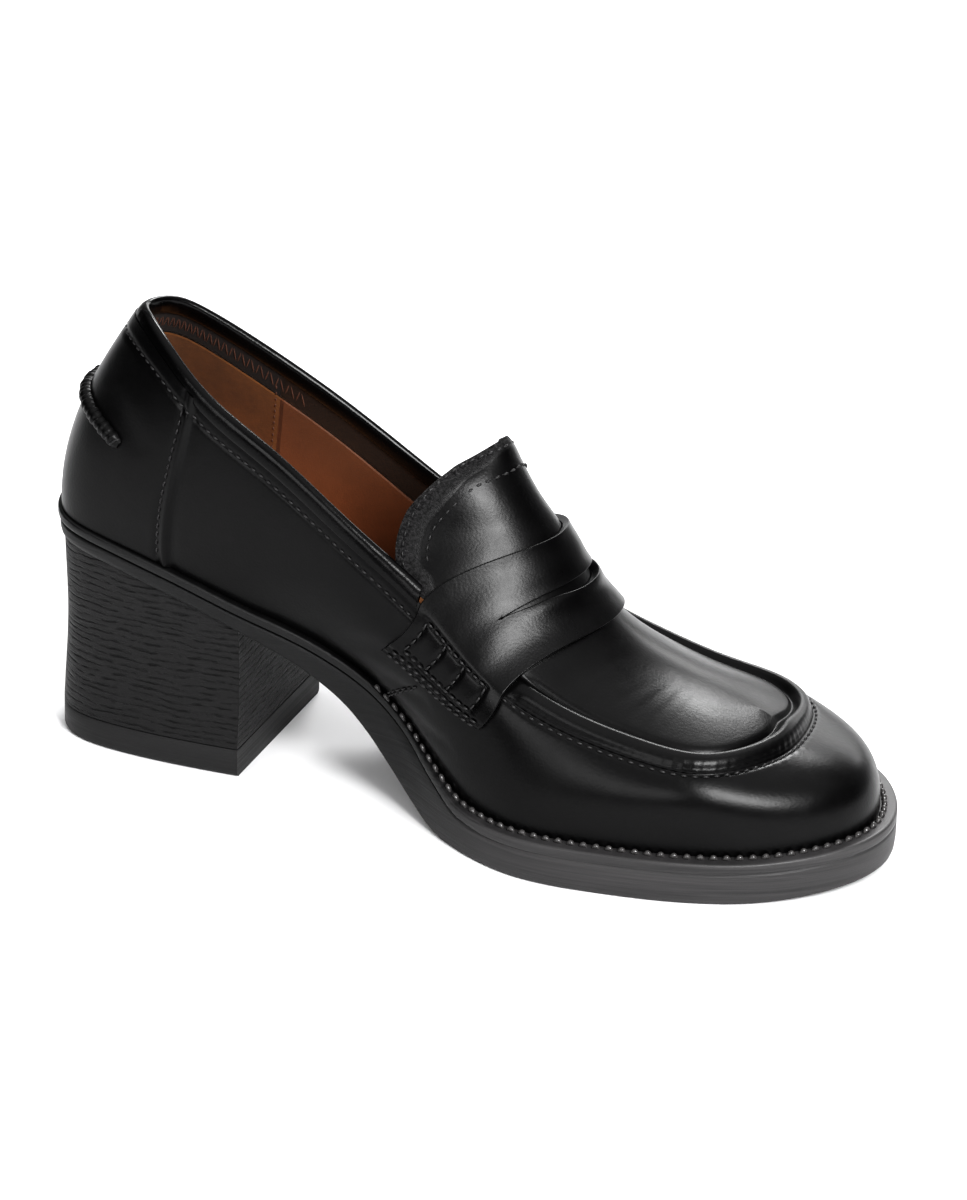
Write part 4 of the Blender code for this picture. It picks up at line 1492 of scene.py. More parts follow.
@dataclass
class BackSeam:
    """Raised whip-stitched seam across the back of the counter."""

    reach: float = 1.8
    top: float = 0.57
    drop: float = 0.08
    half_width: float = 2.1
    height: float = 2.1
    knot_pitch: float = 1.9
    thread_width: float = 0.98
    thread_height: float = 0.90
    points: int = 300

    def path(self) -> tuple[np.ndarray, ...]:
        """The seam's line with its frame.

        Returns:
            Points, sides, ups and distances along.
        """
        at = np.linspace(-self.reach, self.reach, self.points)
        v = self.top - self.drop * (at / self.reach) ** 2
        points = LAST.wall(at, v)
        ups = normals_of(LAST.wall, at, v, 1.0)
        sides = unit(np.cross(np.gradient(points, axis=0), ups))
        run = np.concatenate([[0.0], np.cumsum(np.linalg.norm(np.diff(points, axis=0), axis=1))])
        return points, sides, ups, run

    def build(self) -> list[bpy.types.Object]:
        """Makes the roll and the threads that whip over it.

        Returns:
            The pieces.
        """
        points, sides, ups, run = self.path()
        swell = 1 + 0.06 * np.cos(2 * np.pi * run / self.knot_pitch) + 0.05 * np.sin(run * 1.3)
        ends = soft_step(np.minimum(run, run[-1] - run), -0.5, 2.5)
        base = COUNTER_STEP + 0.05
        turns = np.linspace(0, np.pi, 9)
        rings = np.stack(
            [
                points
                + sides * (self.half_width * math.cos(t) * swell * (0.55 + 0.45 * ends))[:, None]
                + ups * (base + self.height * math.sin(t) * swell * (0.3 + 0.7 * ends))[:, None]
                for t in turns
            ],
            axis=1,
        )
        leather = BlackLeather("seam_leather", roughness=0.36)
        roll = sweep_piece("back_seam_roll", rings, leather, Node.BACK_SEAM)
        threads = StitchRow("back_seam_threads", Node.BACK_SEAM, length=1.0, gap=0.01, radius=0.27, rise=0.1)
        count = int(run[-1] / self.knot_pitch)
        for n in range(count):
            middle = (n + 0.5) * self.knot_pitch + (run[-1] - count * self.knot_pitch) / 2
            angle = np.linspace(0.12, 0.88, 14) * np.pi
            place = middle + 1.5 * (angle / np.pi - 0.5)
            centre = np.stack([np.interp(place, run, points[:, k]) for k in range(3)], axis=-1)
            side = np.stack([np.interp(place, run, sides[:, k]) for k in range(3)], axis=-1)
            up = np.stack([np.interp(place, run, ups[:, k]) for k in range(3)], axis=-1)
            out = unit(side * np.cos(angle)[:, None] + up * np.sin(angle)[:, None])
            arc = centre + side * (self.half_width * self.thread_width * np.cos(angle))[:, None]
            arc = arc + up * (base + self.height * self.thread_height * np.sin(angle))[:, None]
            threads.length = float(np.linalg.norm(np.diff(arc, axis=0), axis=1).sum())
            threads.along(arc, out)
        return [roll, threads.build()]


@dataclass
class SaddleStrap:
    """Strap over the instep, with a lens-shaped slot, cut edges and stitched boxes at its ends."""

    end_rear: float = 0.50
    end_front: float = 0.66
    wall_share: float = 5 / 13
    slot_reach: float = 0.40
    slot_rear: float = 0.10
    slot_front: float = 0.13
    lip_lift: float = 0.55
    box_inner: float = 0.655
    box_outer: float = 0.89
    box_rear: float = 6.20
    box_front: float = 7.70
    end_rows: tuple[float, ...] = (0.985, 0.945)
    pull: float = 0.42
    rows: int = 48
    steps: int = 110

    def surface(self, section: np.ndarray, along: np.ndarray) -> np.ndarray:
        """Points of the last under the strap.

        Args:
            section: Section numbers.
            along: -1 at the inner end and 1 at the outer end.

        Returns:
            One point for each pair.
        """
        section, along = np.broadcast_arrays(np.asarray(section, float), np.asarray(along, float))
        side = np.where(along < 0, -1.0, 1.0)
        span = np.abs(along)
        share = (section - STRAP_REAR_SECTION) / (STRAP_FRONT_SECTION - STRAP_REAR_SECTION)
        end = self.end_rear + share * (self.end_front - self.end_rear)
        down = np.clip((span - (1 - self.wall_share)) / self.wall_share, 0, None)
        on_wall = LAST.wall(LAST.place(section, side), 1 - down * (1 - end))
        on_plug = LAST.plug(section, side, np.clip(1 - span / (1 - self.wall_share), 0, 1))
        return np.where((span > 1 - self.wall_share)[..., None], on_wall, on_plug)

    def lips(self, along: np.ndarray) -> tuple[np.ndarray, np.ndarray]:
        """Section numbers of the slot's rear and front lip.

        Args:
            along: Places along the strap.

        Returns:
            The rear lip and the front lip.
        """
        share = np.clip(np.abs(along) / self.slot_reach, 0, 1)
        lens = np.cos(0.5 * np.pi * share)
        middle = (STRAP_REAR_SECTION + STRAP_FRONT_SECTION) / 2
        wave = 1 - 0.55 * bell(along, 0.20, 0.07) - 0.45 * bell(along, -0.22, 0.08)
        return middle - self.slot_rear * lens, middle + self.slot_front * lens * wave

    def build(self) -> bpy.types.Object:
        """Makes the strap with its slot.

        Returns:
            The piece.
        """
        along = np.linspace(-1, 1, 2 * self.steps + 1)
        rear, front = self.lips(along)
        half = self.rows // 2
        shares = np.linspace(0, 1, half + 1)[:, None]
        behind = STRAP_REAR_SECTION + shares * (rear[None] - STRAP_REAR_SECTION)
        ahead = front[None] + shares * (STRAP_FRONT_SECTION - front[None])
        width = len(along)
        sections = np.concatenate([behind, ahead])
        grid = np.repeat(along[None], len(sections), 0)
        points = self.surface(sections, grid).reshape(-1, 3)
        closed = np.abs(along) >= self.slot_reach - 1e-6
        number = np.arange(sections.size).reshape(sections.shape)
        number[half + 1, closed] = number[half, closed]
        faces = []
        for r in list(range(half)) + list(range(half + 1, 2 * half + 1)):
            low, high = number[r], number[r + 1]
            faces.append(np.stack([low[:-1], high[:-1], high[1:], low[1:]], axis=1))
        quads = np.concatenate(faces)
        used, compact = np.unique(quads, return_inverse=True)
        quads, points = compact.reshape(quads.shape), points[used]
        sections, grid = sections.ravel()[used], grid.ravel()[used]
        normals = point_normals(points, quads)
        swell = 0.16 * np.sin(sections * 9.0 + 3.0 * grid) + 0.10 * np.sin(grid * 17.0 + sections * 4.0)
        pulled = self._pulled(sections, np.abs(grid))
        # The cut edges of the slot lift a little, as leather does beside a long cut.
        middle = (STRAP_REAR_SECTION + STRAP_FRONT_SECTION) / 2
        along_slot = np.clip(1 - np.abs(grid) / (self.slot_reach + 0.12), 0, 1)
        lip = self.lip_lift * along_slot * bell(sections, middle + 0.15, 0.17)
        wavy = 1 + 0.35 * np.sin(grid * 21.0)
        top = SEAT_GAP + STRAP_THICKNESS + 0.35 * swell + lip * wavy - pulled
        layers = [points + normals * top[:, None], points + normals * (SEAT_GAP - 0.1)]
        solid, shell, _ = wrap_layers(layers, quads.tolist())
        leather = BlackLeather("strap_leather", roughness=0.29)
        return make_piece(
            "saddle_strap_leather",
            solid,
            shell,
            [leather],
            Node.SADDLE_STRAP,
            True,
            sharp_over=45.0,
            bevel=0.45,
        )

    def on_top(self, section: np.ndarray, along: np.ndarray) -> tuple[np.ndarray, np.ndarray]:
        """Points on top of the strap.

        Args:
            section: Section numbers.
            along: Places along the strap.

        Returns:
            Points and normals.
        """
        section, along = np.broadcast_arrays(np.asarray(section, float), np.asarray(along, float))
        normals = normals_of(self.surface, section, along, 1.0)
        return self.surface(section, along) + normals * (SEAT_GAP + STRAP_THICKNESS), normals

    def stitch(self) -> bpy.types.Object:
        """Sews three open boxes at each end and a double row along the end's edge.

        Returns:
            The stitches.
        """
        row = StitchRow("strap_stitches", Node.SADDLE_STRAP, length=1.9, gap=0.6, radius=0.36, rise=0.3)
        for sign in SIDES:
            for section in self.bars():
                share = np.linspace(self.box_inner, self.box_outer, 30)
                row.along(*self.on_top(np.full(30, section), sign * share))
            for place in (self.box_inner, self.box_outer):
                share = np.linspace(self.box_rear, self.box_front, 60)
                row.along(*self.on_top(share, np.full(60, sign * place)))
            for place in self.end_rows:
                share = np.linspace(STRAP_REAR_SECTION + 0.08, STRAP_FRONT_SECTION - 0.08, 60)
                row.along(*self.on_top(share, np.full(60, sign * place)))
        return row.build()

    def bars(self) -> np.ndarray:
        """Section numbers of the four bars between the boxes."""
        return np.linspace(self.box_rear, self.box_front, 4)

    def _pulled(self, section: np.ndarray, span: np.ndarray) -> np.ndarray:
        """How far the stitches pull the leather in.

        Args:
            section: Section numbers.
            span: Distances from the middle along the strap, from 0 to 1.

        Returns:
            Depths in millimetres.
        """
        ends = np.zeros_like(section)
        for place in self.end_rows:
            ends = np.maximum(ends, bell(span, place, 0.014))
        beside = soft_step(section, self.box_rear - 0.1, self.box_rear)
        beside = beside * soft_step(section, self.box_front + 0.1, self.box_front)
        across = np.maximum(bell(span, self.box_inner, 0.014), bell(span, self.box_outer, 0.014)) * beside
        inside = soft_step(span, self.box_inner - 0.02, self.box_inner)
        inside = inside * soft_step(span, self.box_outer + 0.02, self.box_outer)
        bars = sum(bell(section, bar, 0.05) for bar in self.bars()) * inside
        return self.pull * np.maximum.reduce([ends, across, np.minimum(bars, 1.0)])


@dataclass
class Tongue:
    """Free flap behind the strap, with a raw edge and two rows of stitches round it."""

    edge_in: float = 1.5
    stitch_insets: tuple[float, ...] = (2.0, 8.4)
    fuzz_reach: float = 7.0
    seam_rows: int = 6
    free_rows: int = 46
    steps: int = 44
    overlap: float = 0.03

    def _joint(self, section: float) -> TongueRow:
        """The tongue's row where it still lies on the last.

        Args:
            section: Section number.

        Returns:
            The row.
        """
        middle, crown, _, _ = LAST.spine(np.array([section]))
        ends: list[float] = []
        for side in SIDES:
            span = LAST.plug_span(np.array([section]), np.array([side]))
            ends.extend(LAST.plug(np.array([section]), np.array([side]), self.edge_in / span)[0])
        return TongueRow(*middle[0], *ends, float(np.degrees(crown[0])))

    def surface(self, row: np.ndarray, across: np.ndarray) -> np.ndarray:
        """Points of the tongue's outside.

        Args:
            row: 0 to 1 under the strap, then 1 to 6 up the free part.
            across: -1 at the inner edge and 1 at the outer edge.

        Returns:
            One point for each pair.
        """
        row, across = np.broadcast_arrays(np.asarray(row, float), np.asarray(across, float))
        shape, row, across = row.shape, row.ravel(), across.ravel()
        front, back = THROAT_SECTION - self.overlap, STRAP_REAR_SECTION
        under = [self._joint(front + (back - front) * k / 3) for k in range(4)]
        table = [*under, *TONGUE]
        places = [0.0, 1 / 3, 2 / 3, *[1.0 + k for k in range(len(TONGUE) + 1)]]
        columns = [smooth_table(row, places, column) for column in zip(*table)]
        middle = np.column_stack(columns[:3])
        ends = np.where((across < 0)[:, None], np.column_stack(columns[3:6]), np.column_stack(columns[6:9]))
        ones, zeros = np.ones(len(row)), np.zeros(len(row))
        points = LAST.half_arch(ends, middle, np.radians(columns[9]), ones, zeros, 1 - np.abs(across))
        return points.reshape(*shape, 3)

    def build(self) -> bpy.types.Object:
        """Makes the flap.

        Returns:
            The piece.
        """
        last = 1.0 + len(TONGUE)
        rows = np.concatenate([np.linspace(0, 1, self.seam_rows), np.linspace(1, last, self.free_rows)[1:]])
        across = np.linspace(-1, 1, 2 * self.steps + 1)
        grid_row, grid_across = np.meshgrid(rows, across, indexing="ij")
        points = self.surface(grid_row, grid_across).reshape(-1, 3)
        number = np.arange(len(points)).reshape(grid_row.shape)
        corners = [number[1:, :-1], number[1:, 1:], number[:-1, 1:], number[:-1, :-1]]
        quads = np.stack(corners, axis=-1).reshape(-1, 4)
        normals = point_normals(points, quads)
        if normals[:, 2].mean() < 0:
            quads, normals = quads[:, ::-1], -normals
        row, side = grid_row.ravel(), grid_across.ravel()
        ripple = 0.25 * np.sin(side * 6.0 + row * 1.4) * soft_step(row, 1.5, 3.0)
        top = points + normals * ripple[:, None]
        solid, shell, kinds = wrap_layers([top, points - normals * TONGUE_THICKNESS], quads.tolist())
        leather = BlackLeather("tongue_leather", roughness=0.30, fuzz=self.fuzz_reach)
        backing = BlackLeather("tongue_back", roughness=0.5)
        rim = self.surface(*self.rim())
        parts = np.array_split(top, 12)
        gap = np.concatenate([np.linalg.norm(part[:, None] - rim, axis=-1).min(axis=1) for part in parts])
        return make_piece(
            "tongue_leather_flap",
            solid,
            shell,
            [leather, backing],
            Node.TONGUE,
            True,
            (kinds == 1).astype(int),
            {"rim": np.tile(gap + 4.0 * soft_step(side, -0.7, 0.0), 2)},
            sharp_over=45.0,
            bevel=0.4,
        )

    def rim(self) -> tuple[np.ndarray, np.ndarray]:
        """The free edge.

        Returns:
            Rows and places across, from the inner side round the top to the outer side.
        """
        last = 1.0 + len(TONGUE)
        up, over = np.linspace(1.5, last, 160), np.linspace(-1, 1, 160)
        rows = np.concatenate([up, np.full(len(over), last), up[::-1]])
        across = np.concatenate([np.full(len(up), -1.0), over, np.full(len(up), 1.0)])
        return rows, across

    def inset_path(self, inset: float) -> tuple[np.ndarray, np.ndarray]:
        """A line at a distance inside the free edge.

        Args:
            inset: Distance from the edge.

        Returns:
            Points and normals.
        """
        rows, across = self.rim()
        rim = self.surface(rows, across)
        middle_row, tries = 1.5, np.linspace(0, 0.8, 50)
        grid_row = rows[:, None] + (middle_row - rows[:, None]) * tries[None]
        grid_across = across[:, None] * (1 - tries[None])
        grid = self.surface(grid_row, grid_across)
        picked = []
        for k, line in enumerate(grid):
            gap = np.linalg.norm(line[:, None] - rim[None], axis=-1).min(axis=1)
            inside = np.maximum.accumulate(gap)
            share = np.interp(inset, inside, tries)
            if inside[-1] > inset:
                picked.append((rows[k] + (middle_row - rows[k]) * share, across[k] * (1 - share)))
        rows, across = np.array(picked).T
        line = self.surface(rows, across)
        run = np.concatenate([[0.0], np.cumsum(np.linalg.norm(np.diff(line, axis=0), axis=1))])
        dense = np.linspace(0, run[-1], 700)
        soft = np.ones(25) / 25
        rows = np.convolve(np.interp(dense, run, rows), soft, "valid")
        across = np.convolve(np.interp(dense, run, across), soft, "valid")
        normals = normals_of(self.surface, rows, across, 1.0)
        normals *= np.sign(normals[:, 2].mean())
        return self.surface(rows, across), normals

    def stitch(self) -> bpy.types.Object:
        """Sews the two rows round the free edge.

        Returns:
            The stitches.
        """
        row = StitchRow("tongue_stitches", Node.TONGUE, length=1.9, gap=0.8, radius=0.36, rise=0.3)
        for inset in self.stitch_insets:
            row.along(*self.inset_path(inset))
        return row.build()


def section_row(step: float) -> np.ndarray:
    """Section numbers from the heel to the toe, a step apart."""
    return np.linspace(0, LAST_SECTION, int(LAST_SECTION / step) + 1)


class Ring(NamedTuple):
    """One level of a sole layer's side: insets at the heel and at the platform, and its heights."""

    heel_inset: float
    toe_inset: float
    height: Callable[[np.ndarray], np.ndarray]


def sole_layer(
    name: str,
    rings: Sequence[Ring],
    finish: object,
    node: Node,
    **more: object,
) -> bpy.types.Object:
    """Makes a layer of the sole from the levels of its side, closed above and below.

    Args:
        name: The piece's name.
        rings: Levels from the top down.
        finish: Its finish.
        node: The CAD node that it is drawn in place of.
        **more: Other settings of make_piece.

    Returns:
        The piece.
    """
    sections = section_row(0.06)
    columns = [(s, -1.0) for s in sections] + [(s, 1.0) for s in sections[-2:0:-1]]
    at = LAST.place(np.array([c[0] for c in columns]), np.array([c[1] for c in columns]))
    count, across = len(columns), 10
    points, faces = [], []
    for ring in rings:
        share = soft_step(LAST.section_of(at), 6.6, 8.6)
        plan = LAST.rim(at, ring.heel_inset + (ring.toe_inset - ring.heel_inset) * share)
        points.extend(np.column_stack([plan, ring.height(plan[:, 0])]))
    for r in range(len(rings) - 1):
        for c in range(count):
            d = (c + 1) % count
            faces.append([r * count + d, r * count + c, (r + 1) * count + c, (r + 1) * count + d])
    for r, flip in ((0, False), (len(rings) - 1, True)):
        ring = rings[r]
        row_numbers = []
        for i in range(len(sections)):
            inner, outer = r * count + i, r * count + (count - i) % count
            row = [inner]
            if inner != outer:
                for j in range(1, across):
                    plan = points[inner] + (points[outer] - points[inner]) * j / across
                    row.append(len(points))
                    points.append(np.array([plan[0], plan[1], float(ring.height(np.array([plan[0]]))[0])]))
                row.append(outer)
            else:
                row = [inner] * (across + 1)
            row_numbers.append(row)
        for low, high in zip(row_numbers, row_numbers[1:]):
            for j in range(across):
                face = list(dict.fromkeys([low[j], high[j], high[j + 1], low[j + 1]]))
                faces.append(face[::-1] if flip else face)
    return make_piece(name, np.array(points), faces, [finish], node, True, **more)


@dataclass
class Sole:
    """Welt lip, platform outsole with its waist, block heel and lift, and the insole inside."""

    midsole: float = 2.8
    breast_x: float = 61.3
    lift: float = 8.0
    foot_inset: float = 1.3
    bevel: float = 1.2
    insole: float = 2.6
    heel_top_inset: float = 1.7
    heel_waist_inset: float = 2.3
    heel_waist_share: float = 0.55
    heel_foot_inset: float = 0.9
    heel_overlap: float = 0.4
    lift_gap: float = 0.35

    def welt(self) -> bpy.types.Object:
        """Makes the thin layer whose rim stands out all round.

        Returns:
            The piece.
        """

        def down(depth: float) -> Callable[[np.ndarray], np.ndarray]:
            """Height at a depth below the sole's top."""
            return lambda x: LAST.sole_top(x) - depth

        rings = [Ring(1.1, 1.1, down(0.0)), Ring(0.45, 0.5, down(0.05)), Ring(0.12, 0.2, down(0.3))]
        rings += [Ring(0.0, 0.06, down(0.7)), Ring(0.0, 0.0, down(1.9)), Ring(0.15, 0.03, down(2.5))]
        rings += [Ring(0.6, 0.18, down(self.midsole))]
        return sole_layer("welt_lip", rings, BrushedRubber("welt_rubber", roughness=0.40), Node.MIDSOLE)

    def welt_beads(self) -> bpy.types.Object:
        """Makes the raised stitches that show as beads between the welt and the upper.

        Returns:
            The stitches.
        """
        row = StitchRow(
            "welt_stitches",
            Node.MIDSOLE,
            Thread("welt_thread", (0.05, 0.048, 0.048), 0.2),
            length=2.4,
            gap=1.0,
            radius=0.80,
            rise=0.6,
            sides=8,
        )
        at = np.linspace(6.2, 2 * LAST_SECTION - 6.2, 900)
        plan = LAST.rim(at, LAST.margin(at) - 1.15)
        points = np.column_stack([plan, LAST.sole_top(plan[:, 0]) + 0.1])
        row.along(points, np.tile([0.0, 0.0, 1.0], (len(points), 1)))
        return row.build()

    def outsole(self) -> bpy.types.Object:
        """Makes the platform with its groove under the welt.

        Returns:
            The piece.
        """
        foot = LAST.sole_bottom

        def top(x: np.ndarray) -> np.ndarray:
            """Height of the layer's top."""
            return LAST.sole_top(x) - self.midsole - 0.1

        def level(share: float, depth: float = 0.0) -> Callable[[np.ndarray], np.ndarray]:
            """Height at a share of the wall's height from its top, and a depth below that."""
            return lambda x: top(x) + (foot(x) - top(x)) * share - depth

        def above(rise: float) -> Callable[[np.ndarray], np.ndarray]:
            """Height above the underside."""
            return lambda x: foot(x) + rise

        rings = [Ring(1.7, 0.35, top), Ring(1.6, 0.30, level(0, 0.3)), Ring(0.85, 0.10, level(0, 0.55))]
        rings += [Ring(0.6, 0.04, level(0, 0.95)), Ring(0.6, 0.02, level(0.3)), Ring(0.6, 0.05, level(0.6))]
        rings += [Ring(0.68, 0.25, above(self.bevel)), Ring(0.9, 0.6, above(0.35))]
        rings += [Ring(self.foot_inset, self.foot_inset - 0.2, foot)]
        return sole_layer("outsole_platform", rings, BrushedRubber(), Node.OUTSOLE, sharp_over=50.0)

    def _heel_loop(self, inset: float) -> np.ndarray:
        """Plan of the heel at an inset, with its straight breast.

        Args:
            inset: Distance in from the sole's rim.

        Returns:
            Plan points once round, from the back.
        """
        ends = {}
        for side in SIDES:
            tries = np.linspace(1.0, 6.0, 2000)
            x = LAST.rim(LAST.place(tries, side), np.full(len(tries), inset))[:, 0]
            ends[side] = float(np.interp(self.breast_x, x, tries))
        shares = 1 - np.cos(np.linspace(0, np.pi / 2, 49))
        inner = LAST.rim(LAST.place(shares * ends[-1.0], -1.0), np.full(49, inset))
        outer = LAST.rim(LAST.place(shares * ends[1.0], 1.0), np.full(49, inset))
        breast = inner[-1] + (outer[-1] - inner[-1]) * np.linspace(0, 1, 24)[1:-1, None]
        return np.concatenate([inner, breast, outer[:0:-1]])

    @staticmethod
    def _stack(
        name: str,
        rings: list[np.ndarray],
        finish: object,
        node: Node,
        bevel: float,
    ) -> bpy.types.Object:
        """Joins level loops of the heel into a closed piece.

        Args:
            name: The piece's name.
            rings: Loops of points from the top down.
            finish: Its finish.
            node: The CAD node that it is drawn in place of.
            bevel: Width of the rounding along sharp edges.

        Returns:
            The piece.
        """
        count = len(rings[0])
        faces = []
        for r in range(len(rings) - 1):
            for c in range(count):
                d = (c + 1) % count
                faces.append([r * count + d, r * count + c, (r + 1) * count + c, (r + 1) * count + d])
        pairs = [(i, (count - i) % count) for i in range(0, 49)]
        for r, flip in ((0, False), (len(rings) - 1, True)):
            base = r * count
            for (a, b), (c, d) in zip(pairs, pairs[1:]):
                face = list(dict.fromkeys([base + a, base + c, base + d, base + b]))
                faces.append(face[::-1] if flip else face)
            tail = [base + i for i in range(48, count - 47)]
            faces.append(tail[::-1] if flip else tail)
        return make_piece(
            name,
            np.concatenate(rings),
            faces,
            [finish],
            node,
            True,
            sharp_over=45.0,
            bevel=bevel,
        )

    def heel(self) -> list[bpy.types.Object]:
        """Makes the stacked block and the lift under it.

        Returns:
            The two pieces.
        """
        levels = np.linspace(1, 0, 26)
        shares = [0.0, 1 - self.heel_waist_share, 1.0]
        insets = [self.heel_top_inset, self.heel_waist_inset, self.heel_foot_inset]
        rings = []
        for level in levels:
            inset = float(smooth_table(np.array([1 - level]), shares, insets)[0])
            plan = self._heel_loop(inset)
            top = LAST.sole_bottom(plan[:, 0]) + self.heel_overlap
            low = self.lift + self.lift_gap
            rings.append(np.column_stack([plan, low + (top - low) * level]))
        block = self._stack("stacked_heel_block", rings, StackedHeel(), Node.HEEL_BLOCK, 0.5)
        steps = [(0.25, 0.0), (0.0, 0.35), (0.0, self.lift - 1.1), (0.3, self.lift - 0.4), (0.9, self.lift)]
        rings = []
        for inset, drop in steps:
            plan = self._heel_loop(self.heel_foot_inset + inset)
            rings.append(np.column_stack([plan, np.full(len(plan), self.lift - drop)]))
        rubber = BrushedRubber("lift_rubber", waist=(0.016, 0.0157, 0.016), roughness=0.5)
        lift = self._stack("heel_lift_rubber", rings, rubber, Node.HEEL_LIFT, 0.0)
        return [block, lift]

    def sock(self) -> bpy.types.Object:
        """Makes the insole with its tan leather sock, rolled a little at its edge.

        Returns:
            The piece.
        """
        sections = section_row(0.08)
        rows = []
        across = 30
        for section in sections:
            ends = []
            for side in SIDES:
                at = LAST.place(np.array([section]), side)
                ends.append(LAST.rim(at, LAST.margin(at) + UPPER_WALL + 0.9)[0])
            share = np.linspace(0, 1, across + 1)[:, None]
            rows.append(ends[0] + (ends[1] - ends[0]) * share)
        plan = np.array(rows)
        width = np.linalg.norm(plan[:, -1] - plan[:, 0], axis=-1)[:, None]
        share = np.linspace(-1, 1, across + 1)[None]
        edge = np.minimum(width * (1 - np.abs(share)) / 2, 99.0)
        low = LAST.sole_top(plan[..., 0].ravel()).reshape(plan.shape[:2]) + SEAT_GAP
        cup = 0.9 * soft_step(edge, 9.0, 1.5) - 0.7 * soft_step(edge, 1.4, 0.0)
        top = np.concatenate([plan, (low + self.insole - 0.3 + cup)[..., None]], axis=-1).reshape(-1, 3)
        base = np.concatenate([plan, low[..., None]], axis=-1).reshape(-1, 3)
        number = np.arange(len(top)).reshape(plan.shape[:2])
        corners = [number[:-1, :-1], number[1:, :-1], number[1:, 1:], number[:-1, 1:]]
        quads = np.stack(corners, axis=-1).reshape(-1, 4)
        solid, shell, _ = wrap_layers([top, base], quads.tolist())
        return make_piece("insole_sock", solid, shell, [TanSock()], Node.INSOLE, True, sharp_over=55.0)


@dataclass
class HeelTicks:
    """Small zigzag tacking inside the topline at the back of the collar."""

    finish: object = field(default_factory=lambda: Thread("brown_thread", (0.11, 0.055, 0.04), 0.6))

    def build(self) -> bpy.types.Object:
        """Sews the ticks.

        Returns:
            The stitches.
        """
        row = StitchRow("topline_tacking", Node.UPPER, self.finish, 4.6, 0.1, 0.24, 0.05)
        share = np.linspace(0, 1, 6)
        for n, at in enumerate(np.linspace(-3.4, 3.4, 96)):
            lean = 0.05 if n % 2 else -0.05
            place = at + lean * (share - 0.5)
            v = UPPER.share_at_drop(place, 3.0) * (1 - share) + UPPER.share_at_drop(place, 7.2) * share
            normals = normals_of(LAST.wall, place, v, 1.0)
            points = LAST.wall(place, v) - normals * (UPPER_WALL + 0.02)
            row.along(points, -normals)
        return row.build()

    def seam(self) -> bpy.types.Object:
        """Sews the lining's upright seams.

        Returns:
            The stitches.
        """
        row = StitchRow("lining_stitches", Node.UPPER, self.finish, 1.2, 1.1, 0.26, 0.1)
        v = np.linspace(0.12, 0.88, 80)
        for sign in SIDES:
            place = LAST.place(np.full(len(v), Lining().seam_section - 0.06), sign)
            normals = normals_of(LAST.wall, place, v, 1.0)
            row.along(LAST.wall(place, v) - normals * (UPPER_WALL + 0.02), -normals)
        return row.build()


@dataclass(frozen=True)
class SoftBox:
    """A soft box: its place in metres, its width and height, and its power in watts."""

    name: str
    at: tuple[float, float, float]
    width: float
    height: float
    power: float


SOFT_BOXES = (
    SoftBox("right_softbox", (0.94, -0.78, 0.90), 0.52, 0.62, 23.0),
    SoftBox("front_softbox", (-0.18, -1.45, 0.62), 1.00, 0.50, 6.0),
    SoftBox("back_softbox", (-0.10, 1.1, 1.10), 0.60, 0.34, 13.0),
    SoftBox("backdrop_softbox", (-0.15, 1.7, 0.55), 1.50, 0.40, 6.0),
)


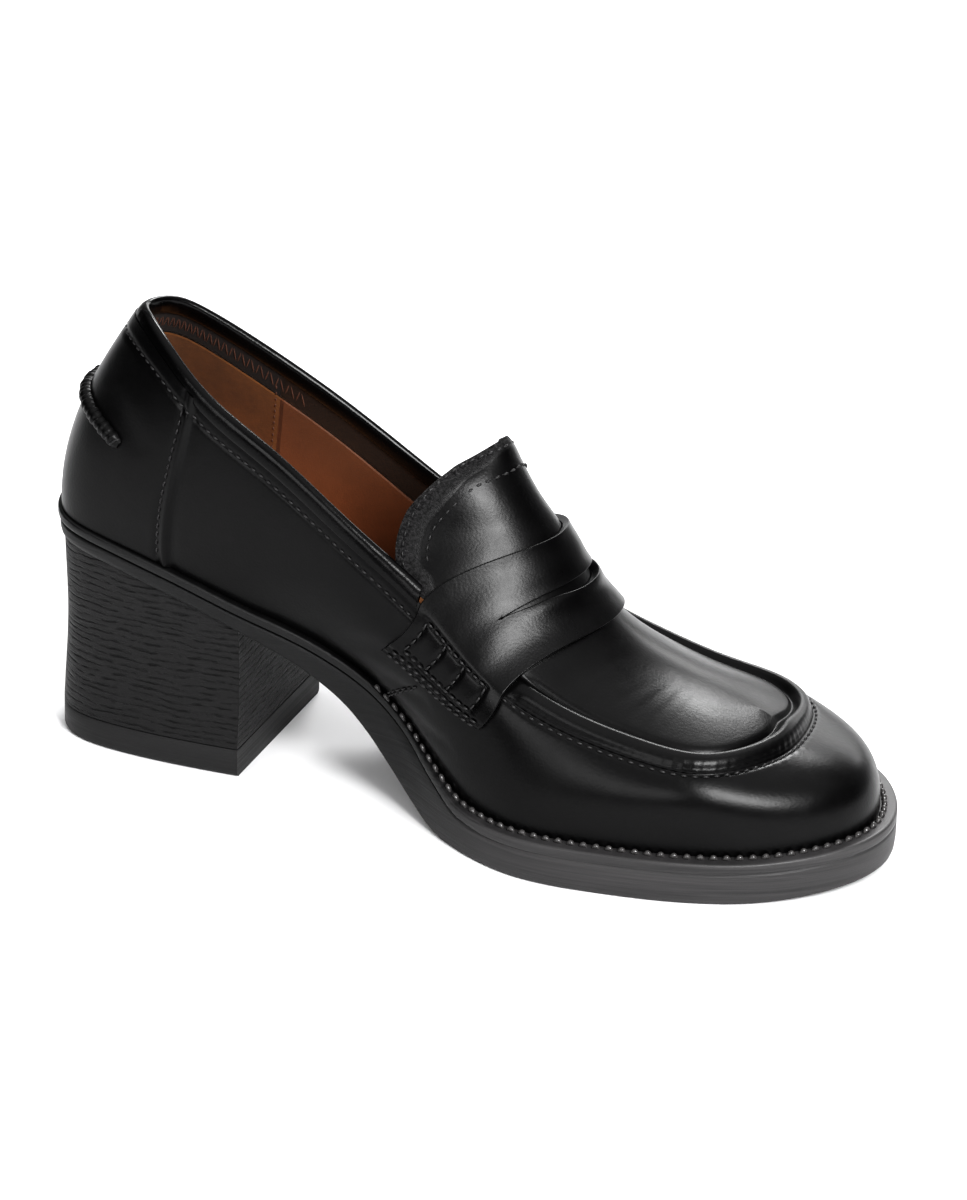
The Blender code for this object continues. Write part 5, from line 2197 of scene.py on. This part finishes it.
@dataclass
class Studio:
    """Pale floor, soft light from above and a camera at the photographed angle."""

    camera_at: tuple[float, float, float] = (515.8, -1064.2, 582.1)
    look_at: tuple[float, float, float] = (124.5, -8.0, 57.16)
    roll_degrees: float = 1.425
    focal_px: float = 2538.84
    zoom: float = 1.85
    frame_height_px: float = 1200.0
    horizon: float = 0.03
    overhead: float = 1.08
    lit_point: tuple[float, float, float] = (0.0, 0.0, 0.05)
    floor_reach: float = 6.0
    floor_flat: float = 2.2
    floor_bend: float = 1.6

    def floor(self) -> bpy.types.Object:
        """Makes the floor, curved up far behind the shoe.

        Returns:
            The floor.
        """
        mesh = bpy.data.meshes.new("studio_floor")
        reach, bend, steps = self.floor_reach, self.floor_bend, 24
        rows = [(-reach, 0.0), (self.floor_flat, 0.0)]
        for turn in np.linspace(0.1, math.pi / 2, steps):
            rows.append((self.floor_flat + bend * math.sin(turn), bend - bend * math.cos(turn)))
        rows += [(self.floor_flat + bend, reach)]
        points = [(x, y, z) for y, z in rows for x in (-reach, reach)]
        faces = [(2 * i, 2 * i + 1, 2 * i + 3, 2 * i + 2) for i in range(len(rows) - 1)]
        mesh.from_pydata(points, [], faces)
        mesh.materials.append(FINISHES.get(PaleFloor()))
        mesh.shade_smooth()
        floor = bpy.data.objects.new("studio_floor", mesh)
        bpy.context.scene.collection.objects.link(floor)
        return floor

    def lamp(self, softbox: SoftBox) -> None:
        """Hangs a soft box that faces the shoe.

        Args:
            softbox: The soft box.
        """
        light = bpy.data.lights.new(softbox.name, "AREA")
        light.shape = "RECTANGLE"
        light.size, light.size_y = softbox.width, softbox.height
        light.energy = softbox.power
        lamp = bpy.data.objects.new(softbox.name, light)
        lamp.location = softbox.at
        lamp.rotation_mode = "QUATERNION"
        towards = Vector(self.lit_point) - Vector(softbox.at)
        lamp.rotation_quaternion = towards.to_track_quat("-Z", "Y")
        bpy.context.scene.collection.objects.link(lamp)

    def light(self) -> None:
        """Hangs the soft boxes in a room that is bright overhead."""
        for softbox in SOFT_BOXES:
            self.lamp(softbox)
        world = bpy.data.worlds.new("studio")
        world.use_nodes = True
        tree = world.node_tree
        where = tree.nodes.new("ShaderNodeTexCoord")
        split = tree.nodes.new("ShaderNodeSeparateXYZ")
        rise = tree.nodes.new("ShaderNodeMapRange")
        tree.links.new(where.outputs["Generated"], split.inputs[0])
        tree.links.new(split.outputs["Z"], rise.inputs["Value"])
        steps = {"From Min": 0.45, "From Max": 0.95, "To Min": self.horizon, "To Max": self.overhead}
        for key, value in steps.items():
            rise.inputs[key].default_value = value
        tree.links.new(rise.outputs["Result"], tree.nodes["Background"].inputs["Strength"])
        tree.nodes["Background"].inputs["Color"].default_value = (1.0, 1.0, 1.0, 1.0)
        bpy.context.scene.world = world

    def camera(self) -> None:
        """Places the camera as far away and as high as in the photograph."""
        data = bpy.data.cameras.new("camera")
        data.sensor_width = 36.0
        data.lens = 36.0 * self.focal_px * self.zoom / self.frame_height_px
        data.clip_start, data.clip_end = 0.05, 30.0
        camera = bpy.data.objects.new("camera", data)
        place = Vector((np.array(self.camera_at) + FRAME_SHIFT) * MM)
        target = Vector((np.array(self.look_at) + FRAME_SHIFT) * MM)
        camera.location = place
        camera.rotation_mode = "QUATERNION"
        turn = Quaternion((0.0, 0.0, 1.0), math.radians(self.roll_degrees))
        camera.rotation_quaternion = (target - place).to_track_quat("-Z", "Y") @ turn
        bpy.context.scene.collection.objects.link(camera)
        bpy.context.scene.camera = camera
        bpy.context.scene.view_settings.view_transform = "Standard"
        bpy.context.scene.view_settings.look = "High Contrast"

    def build(self) -> None:
        """Sets up floor, light and camera."""
        self.floor()
        self.light()
        self.camera()


UPPER = Upper()


def main() -> None:
    """Builds the pieces in the order a maker would put them together."""
    logging.basicConfig(level=logging.INFO, format="%(message)s")
    sole, strap, tongue = Sole(), SaddleStrap(), Tongue()
    made = [sole.outsole(), sole.welt(), sole.welt_beads(), *sole.heel(), sole.sock()]
    made += [UPPER.build(), *UPPER.stitch(), HeelTicks().build(), HeelTicks().seam()]
    made += [CollarBinding().build(), *BackSeam().build()]
    made += [tongue.build(), tongue.stitch(), strap.build(), strap.stitch()]
    for piece in made:
        log.info("%s: %d faces", piece.name, len(piece.data.polygons))
    Studio().build()


if __name__ == "__main__":
    main()
